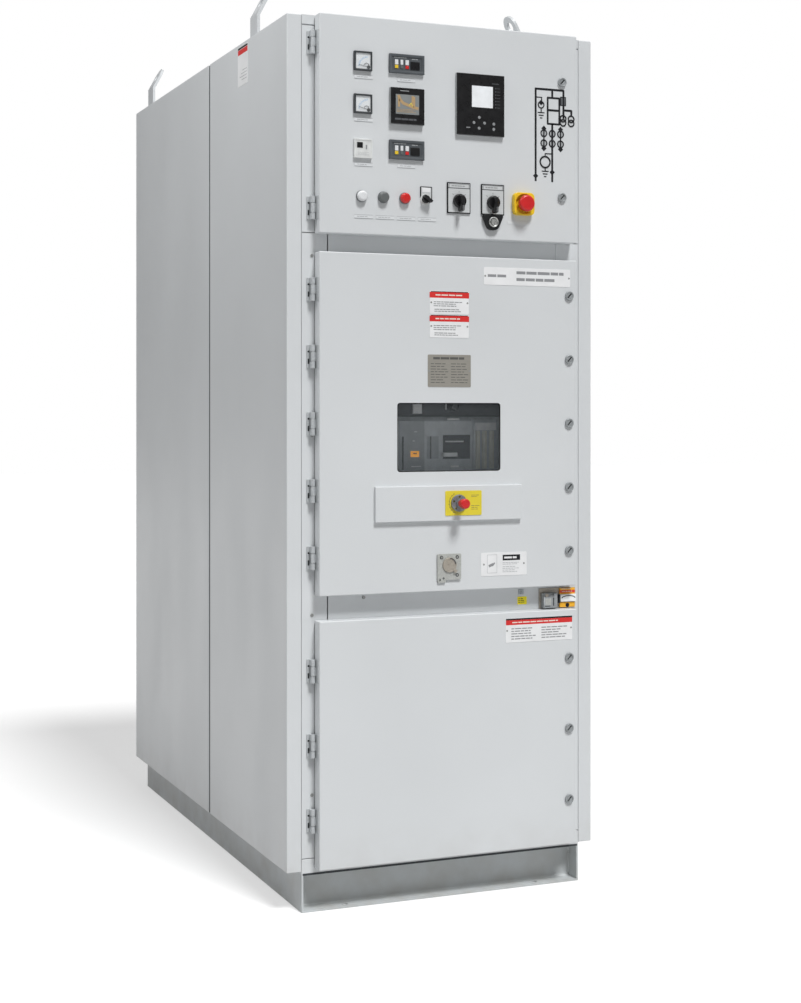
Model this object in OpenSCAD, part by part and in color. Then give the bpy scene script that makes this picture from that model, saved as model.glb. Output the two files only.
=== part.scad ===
// Medium voltage switchgear panel: one free-standing, metal-clad cabinet with a withdrawable
// circuit breaker, three hinged front doors and a channel base.
// +Z is up, the doors face -Y, and the origin is on the floor under the middle of the cabinet.

/* [Cabinet] */
// Width of the cabinet between the end covers
cabinet_w = 800; // [760:10:1000]
// Depth from the front frame plane to the rear covers
cabinet_d = 1600; // [1300:10:2000]
// Height of the channel base
base_h = 100; // [80:5:160]
// Thickness of the frame sheets
sheet_t = 2.5; // [2:0.5:3]
// Visible width of each front post
post_w = 70; // [62:1:80]
// Height of the bottom rail above the base
bottom_rail_h = 37; // [30:1:50]
// Height of the top rail
top_rail_h = 25; // [20:1:40]
// Depth that rails, posts and transoms are folded back
fold_d = 30; // [20:1:40]
// Width of the seams between the frame pieces
seam_gap = 1; // [0.5:0.5:2]

/* [End covers] */
// Thickness of each end cover
cover_t = 40; // [30:1:60]
// Sheet thickness of the end covers
cover_sheet_t = 2; // [1.5:0.5:3]
// Depth of the front end cover, from the front plane to the seam
cover_front_d = 700; // [600:10:800]
// Gap between the front and the rear end cover
cover_gap = 4; // [2:1:8]
// Height of the covers' lower edge above the base
cover_lift = 5; // [3:1:20]

/* [Doors] */
// Height of the bottom door
bottom_door_h = 635; // [560:5:800]
// Height of the middle door
middle_door_h = 880; // [800:5:1100]
// Height of the top door
top_door_h = 561; // [540:1:700]
// Gap from the base to the bottom door
bottom_door_gap = 13; // [8:1:25]
// Height of the lower transom that shows between the doors
lower_transom_show = 64; // [56:1:90]
// Height of the upper transom that shows between the doors
upper_transom_show = 47; // [40:1:70]
// How far the doors stand in front of the frame
door_proud = 38; // [34:1:45]
// Running gap between a door and the frame
door_gap = 2; // [1:0.5:4]
// Sheet thickness of the doors
door_sheet_t = 2.5; // [2:0.5:3]
// Width of the lip around the back of each door
door_lip_w = 18; // [12:1:22]
// Distance from the cabinet side to the doors on the hinge side
hinge_margin = 35; // [32:1:40]
// Distance from the cabinet side to the doors on the lock side
lock_margin = 25; // [20:1:40]

/* [Hinges] */
// Height of a hinge
hinge_h = 60; // [50:1:70]
// Radius of the hinge barrel
barrel_r = 6; // [5:0.5:6.5]
// Radius of the hinge pin
pin_r = 2.5; // [2:0.5:3]
// Distance of the hinge pin in front of the frame
pin_out = 14; // [13:0.5:16]
// Distance of the hinge pin from the door's edge
pin_side = 9; // [8.6:0.2:10]
// Height of the middle knuckle, which the door carries
door_knuckle_h = 24; // [18:1:30]
// Spacing of the top door's hinges
top_hinge_pitch = 424; // [380:2:440]
// Spacing of the middle door's hinges and locks
middle_hinge_pitch = 172; // [150:1:180]
// Spacing of the bottom door's hinges and locks
bottom_hinge_pitch = 191.5; // [170:0.5:210]

/* [Locks] */
// Radius of a quarter-turn lock's head
lock_head_r = 13; // [10:0.5:15]
// How far a lock's head stands out
lock_head_t = 6; // [4:0.5:8]
// Radius of the lock body behind the door
lock_body_r = 10; // [8:0.5:12]
// Distance of the locks from the door's edge
lock_inset = 23.5; // [20:0.5:26]
// Extra inset of the top door's locks
top_lock_inset = 22; // [16:1:30]
// Spacing of the top door's two locks
top_lock_pitch = 311; // [280:1:330]

/* [Low-voltage instruments] */
// Depth of the low-voltage compartment
lv_d = 450; // [350:10:600]
// Sideways place of the meter column
meter_x = -248; // [-260:1:-230]
// Size of a square meter's bezel
meter_size = 50; // [40:1:54]
// Height of the upper meter above the door's lower edge
meter_high_z = 445; // [430:1:460]
// Height of the lower meter
meter_low_z = 335; // [320:1:350]
// Height of the small controller
controller_z = 220; // [200:1:230]
// Sideways place of the power meter column
module_x = -126; // [-140:1:-110]
// Width of an alarm module's bezel
module_w = 98; // [80:1:100]
// Height of an alarm module's bezel
module_h = 50; // [40:1:54]
// Height of the upper alarm module
module_high_z = 446; // [430:1:460]
// Height of the lower alarm module
module_low_z = 223; // [210:1:240]
// Size of the square power meter's bezel
power_meter_size = 94; // [80:1:100]
// Height of the power meter
power_meter_z = 336; // [325:1:345]
// Sideways place of the protection relay
relay_x = 84; // [60:1:100]
// Height of the protection relay
relay_z = 354; // [340:1:370]
// Width of the protection relay
relay_w = 138; // [110:1:150]
// Height of the protection relay's front
relay_h = 162; // [140:1:180]
// How far instrument bodies reach behind the door
instrument_d = 90; // [60:1:150]

/* [Switches and lamps] */
// Height of the row of lamps and switches above the door's lower edge
lamp_row_z = 98; // [90:1:110]
// Spacing of the lamps
lamp_pitch = 60; // [50:1:65]
// Radius of a lamp's bezel
lamp_r = 15.5; // [10:0.5:16]
// Sideways place of the first cam switch
cam_1_x = 23; // [15:1:30]
// Sideways place of the second cam switch
cam_2_x = 121.5; // [110:0.5:130]
// Width of a cam switch's plate
cam_plate_w = 66; // [55:1:70]
// Height of a cam switch's plate
cam_plate_h = 84; // [75:1:90]
// Height of a cam switch's shaft above its plate's lower edge
cam_shaft_z = 32; // [28:1:40]
// Radius of a cam switch's round grip
cam_grip_r = 19; // [15:0.5:22]
// Length that a cam switch's lever stands out
cam_lever_out = 26; // [20:1:32]
// Sideways place of the emergency stop
stop_x = 210; // [205:1:225]
// Size of the emergency stop's square collar
stop_collar_size = 60; // [50:1:64]
// Depth of the emergency stop's collar
stop_collar_t = 16; // [10:1:20]
// Radius of the emergency stop's mushroom head
stop_head_r = 23.5; // [16:0.5:24]
// Stroke of the emergency stop
stop_stroke = 6; // [4:0.5:8]

/* [Middle door] */
// Height of the window above the door's lower edge
window_z = 404; // [380:1:430]
// Width of the window
window_w = 297; // [200:1:340]
// Height of the window
window_h = 180; // [120:1:200]
// Corner radius of the window
window_r = 14; // [6:1:30]
// Thickness of the window pane
window_t = 8; // [5:1:10]
// Height of the raised channel's middle
channel_z = 231; // [215:1:245]
// Length of the raised channel
channel_w = 420; // [300:1:460]
// Height of the raised channel
channel_h = 92; // [80:1:110]
// How far the raised channel stands out
channel_t = 10; // [8:0.5:16]
// Sideways place of the trip plate
trip_x = 33; // [20:1:50]
// Width of the trip plate
trip_w = 105; // [90:1:130]
// Height of the trip plate
trip_h = 65; // [56:1:72]
// Radius of the padlocking disc on the trip plate
trip_disc_r = 23; // [18:0.5:26]
// Radius of the red trip button
trip_button_r = 14; // [10:0.5:16]
// Stroke of the trip button
trip_stroke = 8; // [5:0.5:10]
// Sideways place of the racking port
port_x = -5; // [-20:0.5:20]
// Height of the racking port above the door's lower edge
port_z = 64; // [60:1:90]
// Size of the racking port's square plate
port_size = 68; // [56:1:70]
// Radius of the hole that takes the racking crank
port_bore_r = 11; // [8:0.5:13]
// Radius of the racking port's swinging cap
cap_r = 20; // [16:0.5:21]

/* [Labels] */
// Thickness of the labels
label_t = 1; // [0.5:0.5:1]
// Width of the engraved strips under the instruments
strip_w = 50; // [40:1:52]
// Height of the engraved strips
strip_h = 10; // [8:1:14]
// Distance of the strips below the middle of what they name
strip_drop = 40; // [38:1:46]
// Width of the name label on the middle door
name_label_w = 258; // [200:1:270]
// Height of the name label
name_label_h = 47; // [40:1:50]
// Height of the name label above the door's lower edge
name_label_z = 831; // [800:1:835]
// Width of the two notice labels
notice_label_w = 112; // [90:1:130]
// Height of a notice label
notice_label_h = 60; // [50:1:60]
// Height of the lower notice label above the door's lower edge
notice_label_z = 695; // [680:1:710]
// Spacing of the notice labels
notice_label_pitch = 62; // [62:1:80]
// Width of the rating plate
rating_plate_w = 124; // [100:1:140]
// Height of the rating plate
rating_plate_h = 85; // [70:1:95]
// Height of the rating plate above the door's lower edge
rating_plate_z = 578; // [560:1:590]
// Width of the instruction label beside the racking port
instruction_w = 135; // [110:1:150]
// Height of the instruction label
instruction_h = 62; // [50:1:70]
// Sideways place of the instruction label
instruction_x = 156.5; // [140:0.5:170]
// Width of the bottom door's label
bottom_label_w = 200; // [150:1:210]
// Height of the bottom door's label
bottom_label_h = 64; // [50:1:70]
// Distance of the bottom door's label below the door's top edge
bottom_label_drop = 49; // [45:1:70]
// Width of the label on the left end cover
cover_label_w = 92; // [70:1:110]
// Height of the label on the left end cover
cover_label_h = 108; // [80:1:120]
// Distance of the cover label's middle behind the front plane
cover_label_y = 374; // [200:1:500]

/* [Earthing switch point] */
// Width of the earthing switch point
earthing_w = 110; // [100:1:120]
// Height of the earthing switch point
earthing_h = 54; // [46:1:54]
// Distance of the earthing switch point's middle from the cabinet's right side
earthing_inset = 66; // [62:1:80]

/* [Breaker truck] */
// Height of the breaker compartment's floor plate
shelf_z = 800; // [780:5:815]
// Distance from the front plane to the truck's front
truck_setback = 110; // [80:5:130]
// Travel of the truck from the test to the service position
truck_travel = 200; // [150:5:220]
// Width of the truck's carriage
carriage_w = 620; // [560:10:640]
// Radius of the truck's wheels
wheel_r = 25; // [20:1:30]
// Width of the breaker's housing
housing_w = 500; // [460:10:540]
// Depth of the breaker's housing
housing_d = 170; // [140:5:190]
// Height of the breaker's housing
housing_h = 520; // [480:10:560]
// Spacing of the poles
pole_pitch = 200; // [170:5:210]
// Radius of a pole
pole_r = 65; // [50:1:70]
// Radius of a contact arm
arm_r = 24; // [18:1:30]
// Height between the lower and the upper contact arms
arm_spread = 300; // [260:10:310]
// Distance from the front plane to the bulkhead
bulkhead_d = 760; // [700:10:800]

/* [Base and roof] */
// Flange depth of the base channels
channel_flange = 50; // [40:1:60]
// Thickness of the base channels
channel_steel_t = 5; // [4:0.5:8]
// Radius of the anchor holes
anchor_r = 9; // [7:0.5:12]
// Distance between the left and the right anchor holes
anchor_span_x = 550; // [400:10:600]
// Distance of the anchor holes from the front or rear edge
anchor_inset = 22; // [18:1:30]
// Width of the cable entry in the floor plate
cable_entry_w = 500; // [300:10:560]
// Depth of the cable entry in the floor plate
cable_entry_d = 360; // [200:10:500]
// Width of a lifting lug
lug_w = 64; // [50:1:80]
// Thickness of a lifting lug
lug_t = 8; // [6:0.5:12]
// Distance of the front lugs' middle behind the front plane
lug_inset_front = 378; // [330:1:420]
// Distance of the rear lugs' middle in front of the rear plane
lug_inset_rear = 73; // [60:1:120]
// Height of a lug's upright leg above the roof
lug_rise = 75; // [60:1:100]
// Length of a lug's leaning leg, up to the eye
lug_reach = 46; // [40:1:70]
// Lean of a lug's upper leg
lug_lean = 28; // [15:1:40]
// Radius of a lug's eye
eye_r = 15; // [12:0.5:20]

/* [Hidden] */
$fn = 48;
front_y = -cabinet_d / 2;
rear_y = cabinet_d / 2;
half_w = cabinet_w / 2;
door_left = -half_w + hinge_margin;
door_right = half_w - lock_margin;
door_face_y = front_y - door_proud;
door_back_y = front_y - door_gap;
bottom_door_z = base_h + bottom_door_gap;
middle_door_z = bottom_door_z + bottom_door_h + lower_transom_show;
top_door_z = middle_door_z + middle_door_h + upper_transom_show;
cabinet_h = top_door_z + top_door_h;
// The transoms reach this far behind the doors above and below them.
transom_overlap = 13;
lower_transom_z0 = bottom_door_z + bottom_door_h - transom_overlap;
lower_transom_z1 = middle_door_z + transom_overlap;
upper_transom_z0 = middle_door_z + middle_door_h - transom_overlap;
// The low-voltage module stands on the lower frame, with its seam just over the upper transom.
lv_floor_z = top_door_z + 4;
inner_y0 = front_y + sheet_t;
bulkhead_y = front_y + bulkhead_d;
rear_cover_t = 3;
plate_t = 1.5;
fit_gap = 0.5;
pin_x = door_left - pin_side;
pin_y = front_y - pin_out;
hinge_leaf_t = 4;
hinge_leaf_w = 13;
door_leaf_t = 2.2;
// Bare edge of the door's side face in front of and behind the hinge leaf
door_leaf_edge = 4;
// Side of the opening that the pivoted knuckles leave to the leaves
knuckle_side = 1;
bearing_gap = 0.05;
knuckle_gap = 0.5;
lock_x = door_right - lock_inset;
top_lock_x = lock_x - top_lock_inset;
hinge_drop = 3;
TOP_HINGES = [for (side = [-1, 1]) top_door_z + top_door_h / 2 - hinge_drop + side * top_hinge_pitch / 2];
MIDDLE_HINGES = [for (step = [-2 : 2])
    middle_door_z + middle_door_h / 2 + step * middle_hinge_pitch];
BOTTOM_HINGES = [for (step = [-1 : 1])
    bottom_door_z + bottom_door_h / 2 - hinge_drop + step * bottom_hinge_pitch];
TOP_LOCKS = [for (side = [-1, 1]) top_door_z + top_door_h / 2 - hinge_drop + side * top_lock_pitch / 2];
LUG_YS = [front_y + lug_inset_front, rear_y - lug_inset_rear];
LAMP_XS = [for (i = [0 : 2]) meter_x - 4 + i * lamp_pitch];
selector_x = meter_x - 4 + 3 * lamp_pitch;
lamp_z = top_door_z + lamp_row_z;
cam_plate_z = lamp_z - cam_shaft_z;
truck_y = front_y + truck_setback;
rail_h = 12;
// Gap between a wheel and its rail, and between the port's cap and its plate
rail_gap = 0.3;
carriage_z = shelf_z + sheet_t + rail_h + wheel_r + 10;
carriage_h = 50;
housing_z = carriage_z + carriage_h;
arm_low_z = housing_z + 150;
arm_high_z = arm_low_z + arm_spread;
pole_y = truck_y + housing_d + pole_r + 10;
// The arms stop this far before the bulkhead when the truck is in the test position.
arm_setback = 40;
arm_tip_y = bulkhead_y - arm_setback;
port_bore_z = middle_door_z + port_z + 5;
// The truck's carriage ends this far before the bulkhead when the truck is in service.
rear_clearance = 30;
carriage_d = bulkhead_d - truck_setback - truck_travel - rear_clearance;
wheel_w = 14;
axle_z = shelf_z + sheet_t + rail_h + wheel_r;
// Front and rear limits of the three pressure-relief openings in the roof
flap_margin = 80;
flap_w = cabinet_w - 2 * flap_margin;
flap_gap = 20;
flap_lap = 20;
flap_t = 2;
flap_pitch = (cabinet_d - lv_d - 2 * flap_gap) / 3;
FLAP_YS = [for (i = [0 : 2]) let (y = front_y + lv_d + flap_gap + i * flap_pitch)
    [y + flap_gap, y + flap_pitch - flap_gap]];
bezel_rim = 3;
meter_bezel_t = 8;
meter_body_d = 60;
power_meter_bezel_t = 12;
relay_bezel_t = 10;
cam_body_r = 14;
cam_body_d = 80;
cam_shaft_r = 4;
cam_plate_t = 5;
cam_grip_t = 12;
selector_body_r = 11;
selector_body_d = 50;
selector_shaft_r = 3;
selector_plate_t = 2;
stop_body_r = 11;
stop_shaft_r = 7;
// A handle turns this far in front of its plate.
turning_gap = 1;
shaft_hole_d = 20;
window_x = -2.5;
window_edge = 12;
channel_x = -5;
disc_x = trip_x - 14;
trip_hole_r = 10;
trip_shaft_r = 6;
trip_boss_t = 10;
channel_mid_z = middle_door_z + channel_z;
tube_r = 16;
port_plate_t = 5;
tube_d = 30;
cap_pivot_x = port_x + cap_r - 4;
cap_pivot_z = port_bore_z - cap_r + 4;
cap_pin_r = 3;

// A box given by its low and high limits along each axis.
module block(x, y, z) {
    translate([x[0], y[0], z[0]]) cube([x[1] - x[0], y[1] - y[0], z[1] - z[0]]);
}

// The same piece on the left and on the right.
module both_sides() {
    children();
    mirror([1, 0, 0]) children();
}

// A round bar along +Y from y0 to y1.
module bar_y(x, z, r, y0, y1) {
    translate([x, y0, z]) rotate([-90, 0, 0]) cylinder(r = r, h = y1 - y0);
}

// ---------- Base, floor and frame ----------

module base_frame() {
    color("#8f9699") difference() {
        block([-half_w, half_w], [front_y, rear_y], [0, base_h]);
        // The space between the four channels
        block([-half_w + channel_flange, half_w - channel_flange],
              [front_y + channel_flange, rear_y - channel_flange], [-1, base_h + 1]);
        // Front and rear channels open outwards, side channels open inwards
        for (end = [0, 1]) mirror([0, end, 0])
            block([-half_w + channel_steel_t, half_w - channel_steel_t],
                  [front_y - 1, front_y + channel_flange - channel_steel_t],
                  [channel_steel_t, base_h - channel_steel_t]);
        both_sides()
            block([half_w - channel_flange - 1, half_w - channel_steel_t],
                  [front_y + channel_flange, rear_y - channel_flange],
                  [channel_steel_t, base_h - channel_steel_t]);
        for (x = [-1, 1], y = [-1, 1])
            translate([x * anchor_span_x / 2, y * (cabinet_d / 2 - anchor_inset), -1])
                cylinder(r = anchor_r, h = channel_steel_t + 2);
    }
}

module floor_plate() {
    entry_inset = 120;
    entry_rear_y = rear_y - entry_inset;
    color("#b9bfc2") difference() {
        block([-half_w + sheet_t, half_w - sheet_t], [inner_y0, rear_y - rear_cover_t - sheet_t],
              [base_h, base_h + sheet_t]);
        block([-cable_entry_w / 2, cable_entry_w / 2], [entry_rear_y - cable_entry_d, entry_rear_y],
              [base_h - 1, base_h + sheet_t + 1]);
    }
}

// The left wall sheet with its folded front post and rear flange. The post is broken by the
// seam under the low-voltage module, and stops at the bottom and the top rail.
module left_frame_wall() {
    rear_flange_y = rear_y - rear_cover_t;
    block([-half_w, -half_w + sheet_t], [inner_y0, rear_flange_y],
          [base_h, cabinet_h - sheet_t]);
    block([-half_w, -half_w + fold_d], [rear_flange_y - sheet_t, rear_flange_y],
          [base_h, cabinet_h - sheet_t]);
    for (z = [[base_h + bottom_rail_h + seam_gap, lv_floor_z - seam_gap],
              [lv_floor_z, cabinet_h - top_rail_h - seam_gap]]) {
        block([-half_w, -half_w + post_w], [front_y, front_y + sheet_t], z);
        block([-half_w + post_w - sheet_t, -half_w + post_w], [front_y, front_y + fold_d],
              z);
    }
}

module side_frames() {
    color("#c9ced0") both_sides() left_frame_wall();
}

module front_rails() {
    color("#c9ced0") {
        block([-half_w, half_w], [front_y, front_y + sheet_t], [base_h, base_h + bottom_rail_h]);
        block([-half_w + sheet_t, half_w - sheet_t], [inner_y0, front_y + fold_d],
              [base_h + bottom_rail_h - sheet_t, base_h + bottom_rail_h]);
        block([-half_w, half_w], [front_y, front_y + sheet_t], [cabinet_h - top_rail_h, cabinet_h]);
        block([-half_w + sheet_t, half_w - sheet_t], [inner_y0, front_y + fold_d],
              [cabinet_h - top_rail_h, cabinet_h - top_rail_h + sheet_t]);
    }
}

// A transom between the posts: a front strip folded back along both edges. The folds reach the
// posts, the strip leaves a seam.
module transom(z) {
    reach = half_w - post_w;
    block([-reach + seam_gap, reach - seam_gap], [front_y, inner_y0], z);
    for (edge = [z[0], z[1] - sheet_t])
        block([-reach, reach], [inner_y0, front_y + fold_d], [edge, edge + sheet_t]);
}

module transoms() {
    color("#c9ced0") {
        transom([lower_transom_z0, lower_transom_z1]);
        transom([upper_transom_z0, lv_floor_z - seam_gap]);
    }
}

// ---------- End covers ----------

// One folded cover on the left side: an outer sheet with four returns towards the cabinet.
module left_cover(y, z) {
    slot_gap = 2;
    difference() {
        block([-half_w - cover_t, -half_w], y, z);
        block([-half_w - cover_t + cover_sheet_t, -half_w + 1],
              [y[0] + cover_sheet_t, y[1] - cover_sheet_t],
              [z[0] + cover_sheet_t, z[1] - cover_sheet_t]);
        // Slots that the lifting lugs come up through
        for (lug_y = LUG_YS)
            block([-half_w - lug_t - slot_gap, -half_w + 1],
                  [lug_y - lug_w / 2 - slot_gap, lug_y + lug_w / 2 + slot_gap],
                  [z[1] - cover_sheet_t - 1, z[1] + 1]);
    }
}

module end_covers() {
    z = [base_h + cover_lift, cabinet_h];
    color("#c4c9cb") both_sides() {
        left_cover([front_y, front_y + cover_front_d], z);
        left_cover([front_y + cover_front_d + cover_gap, rear_y], z);
    }
}

// ---------- Compartments ----------

module lv_compartment() {
    x = [-half_w + sheet_t, half_w - sheet_t];
    mouth = [-half_w + post_w, half_w - post_w];
    sill_h = 20;
    color("#d4d8d9") {
        block(x, [front_y + fold_d, front_y + lv_d], [lv_floor_z, lv_floor_z + sheet_t]);
        block(mouth, [front_y, front_y + fold_d], [lv_floor_z, lv_floor_z + sheet_t]);
        block(mouth, [front_y, inner_y0], [lv_floor_z, lv_floor_z + sill_h]);
        block(x, [front_y + lv_d - sheet_t, front_y + lv_d], [lv_floor_z, cabinet_h - sheet_t]);
    }
}

module breaker_shelf() {
    rail_y0 = front_y + fold_d + 20;
    rail_z = shelf_z + sheet_t;
    guide_h = 40;
    guide_gap = 8;
    guide_x = carriage_w / 2 + guide_gap;
    color("#b9bfc2") {
        block([-half_w + sheet_t, half_w - sheet_t], [front_y + fold_d, bulkhead_y],
              [shelf_z, rail_z]);
        // Rails that carry the truck's wheels, and the upright guides beside them
        both_sides() {
            block([carriage_w / 2 - wheel_w - guide_gap, half_w - sheet_t], [rail_y0, bulkhead_y],
                  [rail_z, rail_z + rail_h]);
            block([guide_x, guide_x + sheet_t], [rail_y0, bulkhead_y],
                  [rail_z + rail_h, rail_z + rail_h + guide_h]);
        }
    }
}

// The sheet between the front compartments and the rear chambers, with two slots for the
// truck's contact arms.
module bulkhead() {
    slot_w = 2 * pole_pitch + 2 * arm_r + 120;
    slot_h = 2 * arm_r + 90;
    color("#b9bfc2") difference() {
        block([-half_w + sheet_t, half_w - sheet_t], [bulkhead_y, bulkhead_y + sheet_t],
              [base_h + sheet_t, cabinet_h - sheet_t]);
        for (z = [arm_low_z, arm_high_z])
            block([-slot_w / 2, slot_w / 2], [bulkhead_y - 1, bulkhead_y + sheet_t + 1],
                  [z - slot_h / 2, z + slot_h / 2]);
    }
}

module rear_covers() {
    split_z = base_h + (cabinet_h - base_h) / 2;
    half_gap = 1;
    color("#c4c9cb") for (z = [[base_h + cover_lift, split_z - half_gap], [split_z + half_gap, cabinet_h]])
        block([-half_w, half_w], [rear_y - rear_cover_t, rear_y], z);
}

module roof() {
    color("#c4c9cb") difference() {
        block([-half_w, half_w], [inner_y0, rear_y - rear_cover_t],
              [cabinet_h - sheet_t, cabinet_h]);
        for (y = FLAP_YS)
            block([-flap_w / 2 + flap_lap, flap_w / 2 - flap_lap], y + [flap_lap, -flap_lap],
                  [cabinet_h - sheet_t - 1, cabinet_h + 1]);
    }
}

module relief_flaps() {
    color("#d4d8d9") for (y = FLAP_YS)
        block([-flap_w / 2, flap_w / 2], y, [cabinet_h, cabinet_h + flap_t]);
}

// A bent lifting lug on the left: an upright leg on the wall and a leg that leans inwards.
module lug(y) {
    foot_h = 90;
    translate([-half_w - lug_t, y, cabinet_h + lug_rise]) {
        block([0, lug_t], [-lug_w / 2, lug_w / 2], [-lug_rise - foot_h, 0]);
        rotate([0, lug_lean, 0]) difference() {
            union() {
                block([0, lug_t], [-lug_w / 2, lug_w / 2], [0, lug_reach]);
                translate([0, 0, lug_reach]) rotate([0, 90, 0]) cylinder(r = lug_w / 2, h = lug_t);
            }
            translate([-1, 0, lug_reach]) rotate([0, 90, 0]) cylinder(r = eye_r, h = lug_t + 2);
        }
    }
}

module lifting_lugs() {
    color("#b4b9bb") both_sides() for (y = LUG_YS) lug(y);
}

// ---------- Hinges and locks ----------

// The half of a hinge that is screwed to the post, with the pin and the two outer knuckles.
module frame_hinge(z) {
    end_h = (hinge_h - door_knuckle_h) / 2 - knuckle_gap;
    translate([pin_x, pin_y, z]) {
        block([-hinge_leaf_w - knuckle_side, -knuckle_side], [pin_out - hinge_leaf_t, pin_out],
              [-hinge_h / 2, hinge_h / 2]);
        translate([0, 0, -hinge_h / 2]) cylinder(r = pin_r, h = hinge_h);
        for (end = [0, 1]) mirror([0, 0, end]) {
            translate([0, 0, hinge_h / 2 - end_h]) cylinder(r = barrel_r, h = end_h);
            block([-barrel_r, -knuckle_side], [0, pin_out], [hinge_h / 2 - end_h, hinge_h / 2]);
        }
    }
}

// The half of a hinge that is screwed to the door's side, with the middle knuckle.
module door_hinge(z) {
    web_r = barrel_r - 1;
    translate([pin_x, pin_y, z]) difference() {
        union() {
            block([pin_side - door_leaf_t, pin_side],
                  [-pin_out + door_leaf_edge, pin_out - door_leaf_edge],
                  [-hinge_h / 2, hinge_h / 2]);
            translate([0, 0, -door_knuckle_h / 2]) cylinder(r = barrel_r, h = door_knuckle_h);
            block([0, pin_side - knuckle_side], [-web_r, web_r],
                  [-door_knuckle_h / 2, door_knuckle_h / 2]);
        }
        translate([0, 0, -door_knuckle_h])
            cylinder(r = pin_r + bearing_gap, h = 2 * door_knuckle_h);
    }
}

// A quarter-turn lock: slotted head, body through the door and cam tongue turned downwards.
module lock(x, z) {
    slot_w = 4;
    slot_d = 4;
    tongue_y = door_face_y + 24;
    tongue_t = 3;
    tongue_w = 14;
    tongue_len = 34;
    difference() {
        bar_y(x, z, lock_head_r, door_face_y - lock_head_t, door_face_y);
        block([x - lock_head_r, x + lock_head_r],
              [door_face_y - lock_head_t - 1, door_face_y - lock_head_t + slot_d],
              [z - slot_w / 2, z + slot_w / 2]);
    }
    bar_y(x, z, lock_body_r, door_face_y, tongue_y);
    block([x - tongue_w / 2, x + tongue_w / 2], [tongue_y, tongue_y + tongue_t],
          [z - tongue_len, z + lock_body_r - 1]);
}

module frame_hinges() {
    color("#9da2a4") for (z = concat(TOP_HINGES, MIDDLE_HINGES, BOTTOM_HINGES)) frame_hinge(z);
}

module top_door_fittings() {
    color("#9da2a4") {
        for (z = TOP_HINGES) door_hinge(z);
        for (z = TOP_LOCKS) lock(top_lock_x, z);
    }
}

module middle_door_fittings() {
    color("#9da2a4") for (z = MIDDLE_HINGES) {
        door_hinge(z);
        lock(lock_x, z);
    }
}

module bottom_door_fittings() {
    color("#9da2a4") for (z = BOTTOM_HINGES) {
        door_hinge(z);
        lock(lock_x, z);
    }
}

// ---------- Doors ----------

// A folded door leaf: front sheet, four returns and a lip around the back.
module door_leaf(z, h) {
    difference() {
        block([door_left, door_right], [door_face_y, door_back_y], [z, z + h]);
        block([door_left + door_sheet_t, door_right - door_sheet_t],
              [door_face_y + door_sheet_t, door_back_y - door_sheet_t],
              [z + door_sheet_t, z + h - door_sheet_t]);
        block([door_left + door_lip_w, door_right - door_lip_w],
              [door_back_y - door_sheet_t - 1, door_back_y + 1],
              [z + door_lip_w, z + h - door_lip_w]);
    }
}

// A cut through a door's front sheet.
module door_cut(x, z, w, h) {
    block([x - w / 2, x + w / 2], [door_face_y - 1, door_face_y + door_sheet_t + 1],
          [z - h / 2, z + h / 2]);
}

module door_hole(x, z, r) {
    bar_y(x, z, r, door_face_y - 1, door_face_y + door_sheet_t + 1);
}

// An instrument with a bezel on the door and a smaller body behind it.
module instrument(x, z, w, h, bezel_t, body_d) {
    block([x - w / 2, x + w / 2], [door_face_y - bezel_t, door_face_y], [z - h / 2, z + h / 2]);
    block([x - w / 2 + bezel_rim, x + w / 2 - bezel_rim], [door_face_y, door_face_y + body_d],
          [z - h / 2 + bezel_rim, z + h / 2 - bezel_rim]);
}

// The cut-out that an instrument of the same size needs.
module instrument_cut(x, z, w, h) {
    margin = 2 * bezel_rim - 2 * fit_gap;
    door_cut(x, z, w - margin, h - margin);
}

module top_door() {
    color("#cfd3d5") difference() {
        door_leaf(top_door_z, top_door_h);
        for (z = [meter_high_z, meter_low_z, controller_z])
            instrument_cut(meter_x, top_door_z + z, meter_size, meter_size);
        for (z = [module_high_z, module_low_z])
            instrument_cut(module_x, top_door_z + z, module_w, module_h);
        instrument_cut(module_x, top_door_z + power_meter_z, power_meter_size, power_meter_size);
        instrument_cut(relay_x, top_door_z + relay_z, relay_w, relay_h);
        for (x = LAMP_XS) door_hole(x, lamp_z, selector_body_r + fit_gap);
        door_hole(selector_x, lamp_z, selector_body_r + fit_gap);
        for (x = [cam_1_x, cam_2_x]) door_hole(x, lamp_z, cam_body_r + fit_gap);
        door_hole(stop_x, lamp_z, stop_body_r + fit_gap);
        for (z = TOP_LOCKS) door_hole(top_lock_x, z, lock_body_r + fit_gap);
    }
}

module meters() {
    color("#26282a") for (z = [meter_high_z, meter_low_z, controller_z])
        instrument(meter_x, top_door_z + z, meter_size, meter_size, meter_bezel_t, meter_body_d);
}

module alarm_modules() {
    color("#3a3d40") for (z = [module_high_z, module_low_z])
        instrument(module_x, top_door_z + z, module_w, module_h, meter_bezel_t, meter_body_d);
}

module power_meter() {
    color("#1f2123") instrument(module_x, top_door_z + power_meter_z, power_meter_size,
                                power_meter_size, power_meter_bezel_t, instrument_d);
}

module protection_relay() {
    color("#2a2c2e")
        instrument(relay_x, top_door_z + relay_z, relay_w, relay_h, relay_bezel_t, instrument_d);
}

module lamps() {
    bezel_t = 6;
    lens_t = 8;
    lens_rim = 4;
    lamp_face_y = door_face_y - bezel_t;
    color("#8f9496") for (x = LAMP_XS) {
        bar_y(x, lamp_z, lamp_r, lamp_face_y, door_face_y);
        bar_y(x, lamp_z, lamp_r - lens_rim, lamp_face_y - lens_t, lamp_face_y);
        bar_y(x, lamp_z, selector_body_r, door_face_y, door_face_y + selector_body_d);
    }
}

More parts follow.
